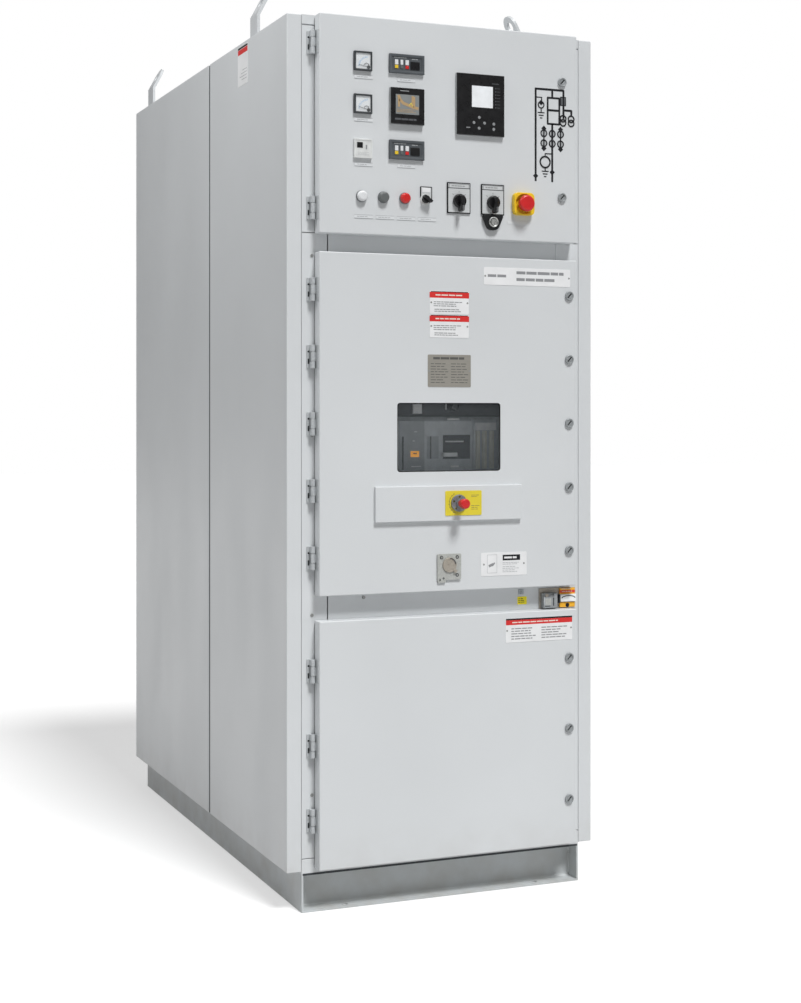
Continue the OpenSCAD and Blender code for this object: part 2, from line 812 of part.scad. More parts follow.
// A cam switch's plate and its body behind the door.
module cam_plate(x) {
    difference() {
        union() {
            block([x - cam_plate_w / 2, x + cam_plate_w / 2],
                  [door_face_y - cam_plate_t, door_face_y],
                  [cam_plate_z, cam_plate_z + cam_plate_h]);
            bar_y(x, lamp_z, cam_body_r, door_face_y, door_face_y + cam_body_d);
        }
        bar_y(x, lamp_z, cam_shaft_r + bearing_gap, door_face_y - cam_plate_t - 1,
              door_face_y + shaft_hole_d);
    }
}

// The tapered lock holder that hangs from the second cam switch's plate.
module key_lock() {
    holder_t = 12;
    holder_h = 42;
    foot_w = 28;
    key_r = 12;
    key_out = 6;
    x = cam_2_x - 3;
    holder_y = door_face_y - holder_t;
    translate([x, door_face_y, cam_plate_z]) rotate([90, 0, 0]) linear_extrude(holder_t)
        polygon([[-cam_plate_w / 2 + 6, 0], [-foot_w / 2, -holder_h], [foot_w / 2, -holder_h],
                 [cam_plate_w / 2, 0]]);
    bar_y(x, cam_plate_z - holder_h / 2, key_r, holder_y - key_out, holder_y);
}

// Plates and bodies of the two cam switches and the selector, and the key lock.
module switch_plates() {
    color("#c9cdcf") {
        for (x = [cam_1_x, cam_2_x]) cam_plate(x);
        key_lock();
        difference() {
            union() {
                block([selector_x - selector_body_r - 5, selector_x + selector_body_r + 9],
                      [door_face_y - selector_plate_t, door_face_y],
                      [lamp_z - selector_body_r - 6, lamp_z + 40]);
                bar_y(selector_x, lamp_z, selector_body_r, door_face_y,
                      door_face_y + selector_body_d);
            }
            bar_y(selector_x, lamp_z, selector_shaft_r + bearing_gap,
                  door_face_y - selector_plate_t - 1, door_face_y + shaft_hole_d);
        }
    }
}

// Engraved strips under the instruments and the lamps.
module name_strips() {
    lamp_strip_drop = 51;
    strip_shift = 3;
    color("#e6e8e9") {
        for (z = [meter_high_z, meter_low_z, controller_z])
            label(meter_x + strip_shift, top_door_z + z - strip_drop, strip_w, strip_h);
        for (z = [module_high_z, module_low_z])
            label(module_x, top_door_z + z - strip_drop - 1, strip_w, strip_h);
        for (x = concat(LAMP_XS, selector_x))
            label(x + 2 * strip_shift, lamp_z - lamp_strip_drop, strip_w - 4, strip_h);
    }
}

// A thin plate on the face of a door.
module label(x, z, w, h) {
    block([x - w / 2, x + w / 2], [door_face_y - label_t, door_face_y], [z - h / 2, z + h / 2]);
}

// A cam switch's round grip and lever, with the shaft into its body.
module cam_handle(x) {
    lever_w = 12;
    lever_down = 29;
    lever_up = 14;
    color("#1c1d1f") translate([x, door_face_y - cam_plate_t, lamp_z]) {
        bar_y(0, 0, cam_grip_r, -cam_grip_t - turning_gap, -turning_gap);
        bar_y(0, 0, cam_shaft_r, -turning_gap, shaft_hole_d);
        block([-lever_w / 2, lever_w / 2], [-cam_lever_out, -turning_gap], [-lever_down, lever_up]);
    }
}

module cam_switch_1() { cam_handle(cam_1_x); }

module cam_switch_2() { cam_handle(cam_2_x); }

module selector_switch() {
    collar_t = 8;
    blade_w = 8;
    blade_len = 24;
    blade_out = 20;
    color("#1c1d1f") translate([selector_x, door_face_y - selector_plate_t, lamp_z]) {
        bar_y(0, 0, lamp_r - 2, -collar_t - turning_gap, -turning_gap);
        bar_y(0, 0, selector_shaft_r, -turning_gap, shaft_hole_d - selector_plate_t);
        block([-blade_w / 2, blade_w / 2], [-blade_out, -turning_gap],
              [-blade_len / 2, blade_len / 2]);
    }
}

module stop_collar() {
    well_gap = 4;
    well_wall = 4;
    collar_y = door_face_y - stop_collar_t;
    color("#e3c32a") difference() {
        union() {
            block([stop_x - stop_collar_size / 2, stop_x + stop_collar_size / 2],
                  [collar_y, door_face_y],
                  [lamp_z - stop_collar_size / 2, lamp_z + stop_collar_size / 2]);
            bar_y(stop_x, lamp_z, stop_body_r, door_face_y, door_face_y + selector_body_d);
        }
        // Round well behind the mushroom head
        bar_y(stop_x, lamp_z, stop_collar_size / 2 - well_wall, collar_y - 1,
              collar_y + stop_stroke + well_gap);
        bar_y(stop_x, lamp_z, stop_shaft_r + bearing_gap, collar_y - 1,
              door_face_y + shaft_hole_d);
    }
}

module stop_button() {
    head_out = 20;
    color("#c62828") translate([stop_x, door_face_y - stop_collar_t, lamp_z]) rotate([-90, 0, 0])
        rotate_extrude() polygon([
            [0, -head_out], [stop_head_r / 2, -head_out + 0.8], [stop_head_r - 4, -head_out + 3.4],
            [stop_head_r - 1, -head_out + 7], [stop_head_r, -head_out + 10], [stop_head_r, -stop_stroke],
            [stop_shaft_r + 5, -2], [stop_shaft_r, 2], [stop_shaft_r, 12], [0, 12]]);
}

// ---------- Middle door ----------

module rounded_opening(w, h, r, y0, y1) {
    translate([0, y1, 0]) rotate([90, 0, 0]) linear_extrude(y1 - y0) union() {
        square([w - 2 * r, h], center = true);
        square([w, h - 2 * r], center = true);
        for (x = [-1, 1], z = [-1, 1]) translate([x * (w / 2 - r), z * (h / 2 - r)]) circle(r = r);
    }
}

module middle_door() {
    color("#cfd3d5") difference() {
        door_leaf(middle_door_z, middle_door_h);
        translate([window_x, 0, middle_door_z + window_z])
            rounded_opening(window_w, window_h, window_r, door_face_y - 1,
                            door_face_y + door_sheet_t + 1);
        for (z = MIDDLE_HINGES) door_hole(lock_x, z, lock_body_r + fit_gap);
        door_hole(port_x, port_bore_z, tube_r + fit_gap);
        door_hole(disc_x, channel_mid_z, trip_hole_r);
    }
}

module window_pane() {
    half_pane = [window_w / 2 + window_edge, window_h / 2 + window_edge];
    pane_y = door_face_y + door_sheet_t;
    pane_z = middle_door_z + window_z;
    color("#6f7a80", 0.4)
        block([window_x - half_pane[0], window_x + half_pane[0]], [pane_y, pane_y + window_t],
              [pane_z - half_pane[1], pane_z + half_pane[1]]);
}

module raised_channel() {
    color("#cfd3d5") difference() {
        block([channel_x - channel_w / 2, channel_x + channel_w / 2],
              [door_face_y - channel_t, door_face_y],
              [channel_mid_z - channel_h / 2, channel_mid_z + channel_h / 2]);
        block([channel_x - channel_w / 2 + door_sheet_t, channel_x + channel_w / 2 - door_sheet_t],
              [door_face_y - channel_t + door_sheet_t, door_face_y + 1],
              [channel_mid_z - channel_h / 2 + door_sheet_t,
               channel_mid_z + channel_h / 2 - door_sheet_t]);
        bar_y(disc_x, channel_mid_z, trip_hole_r, door_face_y - channel_t - 1, door_face_y);
    }
}

module trip_plate() {
    disc_t = 5;
    boss_r = trip_shaft_r + 4;
    lock_hole_r = 3;
    lock_circle_r = 16.5;
    back_y = door_face_y - channel_t;
    face_y = back_y - plate_t;
    color("#d8cf3c") difference() {
        union() {
            block([trip_x - trip_w / 2, trip_x + trip_w / 2], [face_y, back_y],
                  [channel_mid_z - trip_h / 2, channel_mid_z + trip_h / 2]);
            bar_y(disc_x, channel_mid_z, trip_disc_r, face_y - disc_t, face_y);
            bar_y(disc_x, channel_mid_z, boss_r, face_y - trip_boss_t, face_y);
        }
        bar_y(disc_x, channel_mid_z, trip_shaft_r + bearing_gap, face_y - trip_boss_t - 1, back_y + 1);
        // Five padlock holes around the disc
        for (angle = [0 : 72 : 359]) rotate_about(disc_x, channel_mid_z, angle + 18)
            bar_y(disc_x + lock_circle_r, channel_mid_z, lock_hole_r, face_y - disc_t - 1, face_y);
    }
}

// Turns its children about a line along Y.
module rotate_about(x, z, angle) {
    translate([x, 0, z]) rotate([0, angle, 0]) translate([-x, 0, -z]) children();
}

module trip_button() {
    face_y = door_face_y - channel_t - plate_t;
    head_len = 22;
    head_out = trip_boss_t + trip_stroke + 6 + head_len;
    color("#c62828") translate([disc_x, face_y, channel_mid_z]) rotate([-90, 0, 0])
        rotate_extrude() polygon([
            [0, -head_out], [trip_button_r - 6, -head_out + 1], [trip_button_r - 1, -head_out + 5],
            [trip_button_r, -head_out + 10], [trip_button_r, -head_out + head_len - 6],
            [trip_button_r - 3, -head_out + head_len - 2], [trip_shaft_r, -head_out + head_len],
            [trip_shaft_r, 18], [0, 18]]);
}

module racking_port() {
    plate_mid_z = middle_door_z + port_z;
    plate_left = port_x - port_size / 2;
    plate_low = plate_mid_z - port_size / 2;
    plate_y = door_face_y - port_plate_t;
    lug_drop = 7;
    padlock_r = 3;
    color("#9c9f9c") difference() {
        union() {
            block([plate_left, plate_left + port_size], [plate_y, door_face_y],
                  [plate_low, plate_low + port_size]);
            bar_y(port_x, port_bore_z, tube_r, door_face_y, door_face_y + tube_d);
            // Padlock lug at the lower corner
            block([plate_left + 1, plate_left + 24], [plate_y, door_face_y],
                  [plate_low - lug_drop, plate_low + 1]);
        }
        bar_y(port_x, port_bore_z, port_bore_r, plate_y - 1, door_face_y + tube_d + 1);
        for (hole = [[7, 0], [17, 4]])
            bar_y(plate_left + hole[0], plate_low + hole[1], padlock_r, plate_y - 1, door_face_y + 1);
        bar_y(cap_pivot_x, cap_pivot_z, cap_pin_r + bearing_gap, plate_y - 1, door_face_y - 0.5);
    }
}

module racking_cap() {
    cap_t = 3;
    pivot_r = 6;
    pivot_out = 2;
    cap_y1 = door_face_y - port_plate_t - rail_gap;
    color("#a59d92") {
        bar_y(port_x, port_bore_z, cap_r, cap_y1 - cap_t, cap_y1);
        bar_y(cap_pivot_x, cap_pivot_z, pivot_r, cap_y1 - cap_t - pivot_out, cap_y1);
        bar_y(cap_pivot_x, cap_pivot_z, cap_pin_r, cap_y1, door_face_y - 1);
    }
}

module middle_door_labels() {
    label_x = window_x - 0.5;
    color("#e8e9ea") {
        label(door_right - top_lock_inset - name_label_w / 2 + 2, middle_door_z + name_label_z,
              name_label_w, name_label_h);
        for (step = [0, 1])
            label(label_x, middle_door_z + notice_label_z + step * notice_label_pitch,
                  notice_label_w, notice_label_h);
        label(label_x, middle_door_z + rating_plate_z, rating_plate_w, rating_plate_h);
        label(instruction_x, middle_door_z + port_z, instruction_w, instruction_h);
    }
}

// ---------- Bottom door ----------

module bottom_door() {
    color("#cfd3d5") difference() {
        door_leaf(bottom_door_z, bottom_door_h);
        for (z = BOTTOM_HINGES) door_hole(lock_x, z, lock_body_r + fit_gap);
    }
}

module bottom_door_label() {
    color("#e8e9ea")
        label(door_right - bottom_label_w / 2 - 13.5, bottom_door_z + bottom_door_h - bottom_label_drop,
              bottom_label_w, bottom_label_h);
}

// ---------- Lower transom fittings ----------

// Operating point of the earthing switch: key interlock box, gate and marker plates.
module earthing_mechanism() {
    x = half_w - earthing_inset;
    z0 = bottom_door_z + bottom_door_h + door_gap;
    z1 = z0 + earthing_h;
    plate_y = front_y - 3;
    color("#9c9f9c") {
        block([x - earthing_w / 2, x + earthing_w / 2], [plate_y, front_y], [z0, z1]);
        // Key interlock block
        block([x - 49, x - 7], [plate_y - 17, plate_y], [z0 + 1, z1 - 12]);
        // Gate between the two marker plates
        block([x + 6, x + 54], [plate_y - 9, plate_y], [z0 + 15, z1 - 19]);
        for (z = [[z0 + 1, z0 + 14], [z1 - 18, z1 - 1]])
            block([x + 6, x + 52], [plate_y - 5, plate_y], z);
    }
}

// Small plates on the fixed frame: the end cover's label and the tag on the lower transom.
module small_plates() {
    tag_w = 28;
    tag_h = 21;
    tag_gap = 36;
    tag_x = half_w - earthing_inset - earthing_w / 2 - tag_gap;
    cover_x = -half_w - cover_t;
    label_y = front_y + cover_label_y;
    label_z = cabinet_h - 10 - cover_label_h / 2;
    color("#e8e9ea") {
        block([cover_x - label_t, cover_x], [label_y - cover_label_w / 2, label_y + cover_label_w / 2],
              [label_z - cover_label_h / 2, label_z + cover_label_h / 2]);
        block([tag_x - tag_w, tag_x], [front_y - label_t, front_y],
              [middle_door_z - 28 - tag_h, middle_door_z - 28]);
    }
}

// ---------- Breaker truck ----------

module truck_carriage() {
    frame_x = carriage_w / 2 - wheel_w - 6;
    bearing_w = 20;
    bearing_d = 30;
    bearing_drop = 12;
    wheel_inset = 70;
    color("#8f9496") {
        block([-frame_x, frame_x], [truck_y, truck_y + carriage_d],
              [carriage_z, carriage_z + carriage_h]);
        both_sides() for (y = [wheel_inset, carriage_d - wheel_inset]) translate([0, truck_y + y, 0]) {
            block([frame_x - bearing_w, frame_x], [-bearing_d / 2, bearing_d / 2],
                  [axle_z - bearing_drop, carriage_z]);
            translate([frame_x, 0, axle_z]) rotate([0, 90, 0])
                cylinder(r = wheel_r - rail_gap, h = wheel_w);
        }
    }
}

module breaker_housing() {
    step_d = 30;
    step_h = 135;
    color("#5d6264") {
        block([-housing_w / 2, housing_w / 2], [truck_y + step_d, truck_y + housing_d],
              [housing_z, housing_z + housing_h]);
        block([-housing_w / 2, housing_w / 2], [truck_y, truck_y + step_d],
              [housing_z, housing_z + housing_h - step_h]);
    }
}

module breaker_poles() {
    pole_top = 40;
    color("#7b4a3a") for (i = [-1 : 1]) {
        translate([i * pole_pitch, pole_y, housing_z])
            cylinder(r = pole_r, h = housing_h + pole_top);
        for (z = [arm_low_z, arm_high_z]) bar_y(i * pole_pitch, z, arm_r, pole_y, arm_tip_y);
    }
}

base_frame();
floor_plate();
side_frames();
front_rails();
transoms();
end_covers();
lv_compartment();
breaker_shelf();
bulkhead();
rear_covers();
roof();
relief_flaps();
lifting_lugs();
frame_hinges();
truck_carriage();
breaker_housing();
breaker_poles();
earthing_mechanism();
small_plates();
top_door();
top_door_fittings();
meters();
alarm_modules();
power_meter();
protection_relay();
lamps();
switch_plates();
name_strips();
cam_switch_1();
cam_switch_2();
selector_switch();
stop_collar();
stop_button();
middle_door();
middle_door_fittings();
window_pane();
raised_channel();
trip_plate();
trip_button();
racking_port();
racking_cap();
middle_door_labels();
bottom_door();
bottom_door_fittings();
bottom_door_label();
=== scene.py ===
"""The looks of a medium voltage switchgear panel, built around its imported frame.

All sizes are metres in the frame's own axes: +Z is up, the doors face -Y and X runs to the
right as one stands before the doors. Places come from the frame's boxes, so a piece sits
where its node is. Lettering is left out: printed plates carry plain dashes.
"""

import logging
import math
import random
from collections.abc import Iterator, Sequence
from contextlib import contextmanager
from dataclasses import dataclass
from enum import Enum
from functools import cache

import bmesh
import bpy
from mathutils import Matrix, Vector


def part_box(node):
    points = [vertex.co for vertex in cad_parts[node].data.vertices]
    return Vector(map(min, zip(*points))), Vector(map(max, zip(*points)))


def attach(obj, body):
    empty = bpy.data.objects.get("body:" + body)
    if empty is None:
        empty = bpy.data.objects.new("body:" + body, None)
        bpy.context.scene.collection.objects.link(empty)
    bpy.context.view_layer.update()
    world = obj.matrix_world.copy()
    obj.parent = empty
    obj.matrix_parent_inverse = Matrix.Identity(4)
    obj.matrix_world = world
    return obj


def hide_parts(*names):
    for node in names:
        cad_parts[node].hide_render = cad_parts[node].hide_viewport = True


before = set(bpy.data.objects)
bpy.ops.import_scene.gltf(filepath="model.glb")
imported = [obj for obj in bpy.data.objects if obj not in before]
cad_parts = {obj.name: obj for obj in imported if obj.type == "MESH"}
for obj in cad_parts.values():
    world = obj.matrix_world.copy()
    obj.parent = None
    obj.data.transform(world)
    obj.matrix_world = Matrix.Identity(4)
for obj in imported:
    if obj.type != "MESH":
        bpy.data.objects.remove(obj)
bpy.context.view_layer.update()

LOG = logging.getLogger("switchgear")
Piece = bpy.types.Object
Socket = bpy.types.NodeSocket
Spot = tuple[float, float]
Point = tuple[float, float, float]
Colour = tuple[float, float, float]
Stroke = tuple[Spot, Spot, float]


# ---------- The workbench: a few operators, named for what they do ----------


class Facing(Enum):
    """The six ways that a flat face can look."""

    FRONT = (0.0, -1.0, 0.0)
    BACK = (0.0, 1.0, 0.0)
    LEFT = (-1.0, 0.0, 0.0)
    RIGHT = (1.0, 0.0, 0.0)
    DOWN = (0.0, 0.0, -1.0)
    UP = (0.0, 0.0, 1.0)

    @property
    def vector(self) -> Vector:
        """The direction as a vector."""
        return Vector(self.value)


def choose(*objects: Piece) -> None:
    """Selects only these objects, the first one active."""
    if bpy.context.mode != "OBJECT":
        bpy.ops.object.mode_set(mode="OBJECT")
    bpy.ops.object.select_all(action="DESELECT")
    for thing in objects:
        thing.select_set(True)
    if objects:
        bpy.context.view_layer.objects.active = objects[0]


@contextmanager
def editing(thing: Piece, mode: str = "FACE") -> Iterator[bmesh.types.BMesh]:
    """Opens a mesh in edit mode with nothing selected.

    Args:
        thing: The piece to edit.
        mode: FACE, EDGE or VERT, what the selection works on.

    Returns:
        The edit mesh, for choosing faces and edges by their place.
    """
    choose(thing)
    bpy.ops.object.mode_set(mode="EDIT")
    bpy.ops.mesh.select_mode(type=mode)
    bpy.ops.mesh.select_all(action="DESELECT")
    yield bmesh.from_edit_mesh(thing.data)
    bpy.ops.object.mode_set(mode="OBJECT")


def apply(thing: Piece, kind: str, **settings: object) -> Piece:
    """Adds a modifier, sets it up and applies it."""
    choose(thing)
    modifier = thing.modifiers.new(kind.title(), kind)
    for key, value in settings.items():
        setattr(modifier, key, value)
    bpy.ops.object.modifier_apply(modifier=modifier.name)
    return thing


def soften(thing: Piece, width: float = 0.0, steps: int = 2, angle: float = 35.0) -> Piece:
    """Breaks the sharp edges and shades the piece so that its flat faces stay flat.

    Args:
        thing: The piece.
        width: Width of the broken edge; 0 leaves the edges alone.
        steps: Faces across a broken edge.
        angle: Edges that turn more than this are broken.

    Returns:
        The piece.
    """
    if width:
        apply(thing, "BEVEL", width=width, segments=steps, limit_method="ANGLE",
              angle_limit=math.radians(angle), use_clamp_overlap=True)
    choose(thing)
    bpy.ops.object.shade_smooth_by_angle(angle=math.radians(40))
    return apply(thing, "WEIGHTED_NORMAL", keep_sharp=True)


def named(thing: Piece, name: str) -> Piece:
    """Gives a piece and its mesh one name."""
    thing.name = thing.data.name = name
    return thing


def settled(name: str, edge: float = 0.0, steps: int = 2) -> Piece:
    """Names the new object, puts its place and turn into its mesh and breaks its edges."""
    thing = named(bpy.context.active_object, name)
    bpy.ops.object.transform_apply(location=True, rotation=True, scale=True)
    return soften(thing, edge, steps) if edge else thing


def round_corners(thing: Piece, facing: Facing, radius: float, steps: int = 4) -> Piece:
    """Rounds the edges that run along a direction."""
    way = facing.vector
    with editing(thing, "EDGE") as mesh:
        for edge in mesh.edges:
            run = (edge.verts[1].co - edge.verts[0].co).normalized()
            edge.select_set(abs(run.dot(way)) > 0.999)
        bpy.ops.mesh.bevel(offset=radius, segments=steps, affect="EDGES")
    return thing


def block(name: str, low: Sequence[float], high: Sequence[float], edge: float = 0.0,
          steps: int = 2) -> Piece:
    """A box between two corners, with broken edges if edge is given."""
    choose()
    low, high = Vector(low), Vector(high)
    bpy.ops.mesh.primitive_cube_add(size=1, location=(low + high) / 2, scale=high - low)
    return settled(name, edge, steps)


def slab(name: str, spot: Spot, size: Spot, back: float, depth: float, edge: float = 0.0,
         steps: int = 2, corner: float = 0.0) -> Piece:
    """A box that stands forward from a face of a door.

    Args:
        name: Name of the piece.
        spot: Middle of the box, as X and Z.
        size: Width and height.
        back: Y of its rear face.
        depth: How far it stands out towards the front.
        edge: Width of its broken edges.
        steps: Faces across a broken edge.
        corner: Radius of its four corners as seen from the front.

    Returns:
        The box.
    """
    low = (spot[0] - size[0] / 2, back - depth, spot[1] - size[1] / 2)
    high = (spot[0] + size[0] / 2, back, spot[1] + size[1] / 2)
    thing = block(name, low, high)
    if corner:
        round_corners(thing, Facing.BACK, corner)
    return soften(thing, edge, steps) if edge else thing


def rod(name: str, start: Sequence[float], end: Sequence[float], radius: float,
        end_radius: float | None = None, sides: int = 32, edge: float = 0.0,
        steps: int = 2) -> Piece:
    """A round bar or cone from start to end."""
    choose()
    start, end = Vector(start), Vector(end)
    run = end - start
    bpy.ops.mesh.primitive_cone_add(
        vertices=sides, radius1=radius, radius2=radius if end_radius is None else end_radius,
        depth=run.length, location=(start + end) / 2,
        rotation=run.to_track_quat("Z", "Y").to_euler())
    return settled(name, edge, steps)


def button(name: str, spot: Spot, radius: float, back: float, depth: float,
           front_radius: float | None = None, sides: int = 32, edge: float = 0.0,
           steps: int = 2) -> Piece:
    """A round bar that stands forward from a face of a door."""
    return rod(name, (spot[0], back, spot[1]), (spot[0], back - depth, spot[1]), radius,
               front_radius, sides, edge, steps)


def ring(name: str, spot: Spot, radius: float, wire: float, y: float) -> Piece:
    """A thin round ring that lies flat on a face of a door."""
    choose()
    bpy.ops.mesh.primitive_torus_add(
        location=(spot[0], y, spot[1]), rotation=(math.pi / 2, 0, 0), major_radius=radius,
        minor_radius=wire, major_segments=32, minor_segments=6)
    return settled(name)


def pick_outer(mesh: bmesh.types.BMesh, facing: Facing) -> None:
    """Selects the flat faces that look one way and lie furthest that way."""
    way = facing.vector
    level = [face for face in mesh.faces if face.normal.dot(way) > 0.999]
    reach = max(face.calc_center_median().dot(way) for face in level)
    for face in level:
        if reach - face.calc_center_median().dot(way) < 1e-5:
            face.select_set(True)


def sink(thing: Piece, facing: Facing, rim: float, depth: float) -> Piece:
    """Leaves a rim around the outermost face and moves the rest in by depth."""
    with editing(thing) as mesh:
        pick_outer(mesh, facing)
        bpy.ops.mesh.inset(thickness=rim)
        bpy.ops.mesh.extrude_region_move(
            TRANSFORM_OT_translate={"value": facing.vector * -depth})
    return thing


def dome(thing: Piece, facing: Facing, width: float, steps: int = 7) -> Piece:
    """Rounds the rim of the outermost face."""
    way = facing.vector
    with editing(thing, "EDGE") as mesh:
        reach = max(vert.co.dot(way) for vert in mesh.verts)
        for edge in mesh.edges:
            edge.select_set(all(reach - vert.co.dot(way) < 1e-5 for vert in edge.verts))
        bpy.ops.mesh.bevel(offset=width, segments=steps, profile=0.55, affect="EDGES")
    return soften(thing)


def combined(thing: Piece, others: Sequence[Piece], operation: str) -> Piece:
    """Adds or cuts the others' shapes and throws them away."""
    for other in others:
        apply(thing, "BOOLEAN", operation=operation, solver="EXACT", object=other)
        bpy.data.objects.remove(other)
    return thing


def cut(thing: Piece, *cutters: Piece) -> Piece:
    """Takes the cutters' shapes out of a piece."""
    return combined(thing, cutters, "DIFFERENCE")


def united(thing: Piece, *others: Piece) -> Piece:
    """Makes one closed shape of a piece and others that overlap it."""
    return combined(thing, others, "UNION")


def joined(name: str, parts: Sequence[Piece]) -> Piece:
    """Joins parts to one mesh."""
    choose(*parts)
    if len(parts) > 1:
        bpy.ops.object.join()
    return named(bpy.context.active_object, name)


def twin(thing: Piece, name: str, shift: Sequence[float]) -> Piece:
    """A copy with its own mesh, moved by shift."""
    copy = thing.copy()
    copy.data = thing.data.copy()
    copy.data.transform(Matrix.Translation(Vector(shift)))
    bpy.context.scene.collection.objects.link(copy)
    return named(copy, name)


def row(name: str, first: Piece, shifts: Sequence[Sequence[float]]) -> Piece:
    """The first piece and its copies at each shift, joined to one mesh."""
    return joined(name, [first, *(twin(first, f"{name}_{i}", shift)
                                  for i, shift in enumerate(shifts))])


def turned(thing: Piece, centre: Sequence[float], facing: Facing, degrees: float) -> Piece:
    """Turns a piece's mesh about a line through centre."""
    there = Matrix.Translation(Vector(centre))
    turn = Matrix.Rotation(math.radians(degrees), 4, facing.vector)
    thing.data.transform(there @ turn @ there.inverted())
    return thing


def face_out(thing: Piece) -> Piece:
    """Turns every face of a closed shape outwards."""
    with editing(thing):
        bpy.ops.mesh.select_all(action="SELECT")
        bpy.ops.mesh.normals_make_consistent(inside=False)
    return soften(thing)


def mirrored(thing: Piece, name: str) -> Piece:
    """A copy on the other side of the middle plane, with its faces outwards again."""
    copy = twin(thing, name, (0, 0, 0))
    copy.data.transform(Matrix.Scale(-1, 4, (1, 0, 0)))
    return face_out(copy)


def folded_sheet(name: str, path: Sequence[Spot], run: Spot, along: Facing, thickness: float,
                 bend: float) -> Piece:
    """A flat strip folded along parallel lines, as on a press brake.

    Args:
        name: Name of the piece.
        path: The profile's points, in the plane across the folds: (x, y) for folds along Z and
            (y, z) for folds along X. The sheet lies to the left of the path.
        run: Where the strip begins and ends along its folds.
        along: Direction of the folds: UP or RIGHT.
        thickness: Sheet thickness; a negative one puts it to the right of the path.
        bend: Radius of the folds on the path's side.

    Returns:
        The finished sheet.
    """
    def placed(spot: Spot, level: float) -> Vector:
        """A profile point at a place along the folds."""
        return Vector((*spot, level) if along is Facing.UP else (level, *spot))

    lines = [placed(spot, run[0]) for spot in path]
    first = lines[1] - lines[0]
    way = along.vector
    across = first.normalized()
    choose()
    bpy.ops.mesh.primitive_plane_add(
        size=1, location=(placed(path[0], run[0]) + placed(path[1], run[1])) / 2,
        rotation=Matrix((across, way, across.cross(way))).transposed().to_euler())
    bpy.context.active_object.scale = (first.length, run[1] - run[0], 1)
    thing = settled(name)
    for here, there in zip(lines[1:], lines[2:]):
        with editing(thing, "EDGE") as mesh:
            for edge in mesh.edges:
                ends = [(vert.co - here) - (vert.co - here).dot(way) * way for vert in edge.verts]
                edge.select_set(max(end.length for end in ends) < 1e-6)
            bpy.ops.mesh.extrude_region_move(TRANSFORM_OT_translate={"value": there - here})
    with editing(thing, "EDGE") as mesh:
        for edge in mesh.edges:
            edge.select_set(len(edge.link_faces) == 2)
        bpy.ops.mesh.bevel(offset=bend, segments=3, affect="EDGES")
    apply(thing, "SOLIDIFY", thickness=abs(thickness), use_even_offset=True,
          offset=-math.copysign(1, thickness))
    return soften(face_out(thing), abs(thickness) * 0.18, 1, 60)


def strokes(name: str, lines: Sequence[Stroke], face: float, thickness: float) -> Piece:
    """Flat straight strokes in one mesh, on a face that looks to the front.

    Args:
        name: Name of the piece.
        lines: Start, end and width of each stroke, as X and Z.
        face: Y of the face they lie on.
        thickness: How far they stand out; neighbours differ a little, so that none coincide.

    Returns:
        The strokes.
    """
    choose()
    bpy.ops.mesh.primitive_cube_add(size=1, location=(0, 0, 0))
    thing = settled(name)
    with editing(thing):
        bpy.ops.mesh.select_all(action="SELECT")
        bpy.ops.mesh.delete(type="VERT")
        for i, (start, end, width) in enumerate(lines):
            run, spot = Vector(end) - Vector(start), (Vector(end) + Vector(start)) / 2
            depth = thickness * (1 + 0.14 * (i % 4))
            bpy.ops.mesh.primitive_cube_add(
                size=1, location=(spot.x, face - depth / 2, spot.y),
                rotation=(0, -math.atan2(run.y, run.x), 0),
                scale=(run.length + width * 0.5, depth, width))
    return thing


def dashes(spot: Spot, size: Spot, rows: int, seed: int, ink: float = 0.45) -> list[Stroke]:
    """Rows of short dashes that stand for small print.

    Args:
        spot: Middle of the printed field, as X and Z.
        size: Width and height of the field.
        rows: Number of rows.
        seed: Start of the random order.
        ink: Share of a row's height that a dash takes.

    Returns:
        Lines for the function strokes.
    """
    chance = random.Random(seed)
    pitch = size[1] / rows
    made = []
    for line in range(rows):
        z = spot[1] + size[1] / 2 - (line + 0.5) * pitch
        x = spot[0] - size[0] / 2
        end = spot[0] + size[0] / 2 - chance.uniform(0, 0.3) * size[0]
        while x < end - pitch * 0.5:
            width = min(chance.uniform(0.8, 2.6) * pitch, end - x)
            made.append(((x, z), (x + width, z), pitch * ink))
            x += width + pitch * 0.5
    return made


def outline(spot: Spot, size: Spot, width: float) -> list[Stroke]:
    """The four lines of a box."""
    left, right = spot[0] - size[0] / 2, spot[0] + size[0] / 2
    low, high = spot[1] - size[1] / 2, spot[1] + size[1] / 2
    return [((left, high), (right, high), width), ((left, low), (right, low), width),
            ((left, low), (left, high), width), ((right, low), (right, high), width)]


def at(spot: Spot, right: float, up: float) -> Spot:
    """The place so far to the right of a spot and above it."""
    return (spot[0] + right, spot[1] + up)


def drawn(spot: Spot, rows: Sequence[Sequence[float]]) -> list[Stroke]:
    """Strokes from rows of start x and z, end x and z from a spot, and width."""
    return [(at(spot, x0, z0), at(spot, x1, z1), width) for x0, z0, x1, z1, width in rows]


def chain(points: Sequence[Spot], width: float) -> list[Stroke]:
    """Strokes from each point to the next."""
    return [(start, end, width) for start, end in zip(points, points[1:])]


def arc(centre: Spot, radius: float, start: float, step: float, count: int,
        flat: float = 1.0) -> list[Spot]:
    """Points along a circle or an ellipse.

    Args:
        centre: Its middle.
        radius: Its radius along X.
        start: Angle of the first point in degrees, counted from the right.
        step: Degrees from each point to the next.
        count: Number of points.
        flat: Height of an ellipse as a share of its width.

    Returns:
        The points as X and Z.
    """
    angles = [math.radians(start + i * step) for i in range(count)]
    return [at(centre, radius * math.cos(a), radius * flat * math.sin(a)) for a in angles]


def spread(low: float, high: float, count: int) -> list[float]:
    """Evenly spaced places from low to high, both included."""
    return [low + (high - low) * i / (count - 1) for i in range(count)]


# ---------- Finishes: what each surface is made of ----------


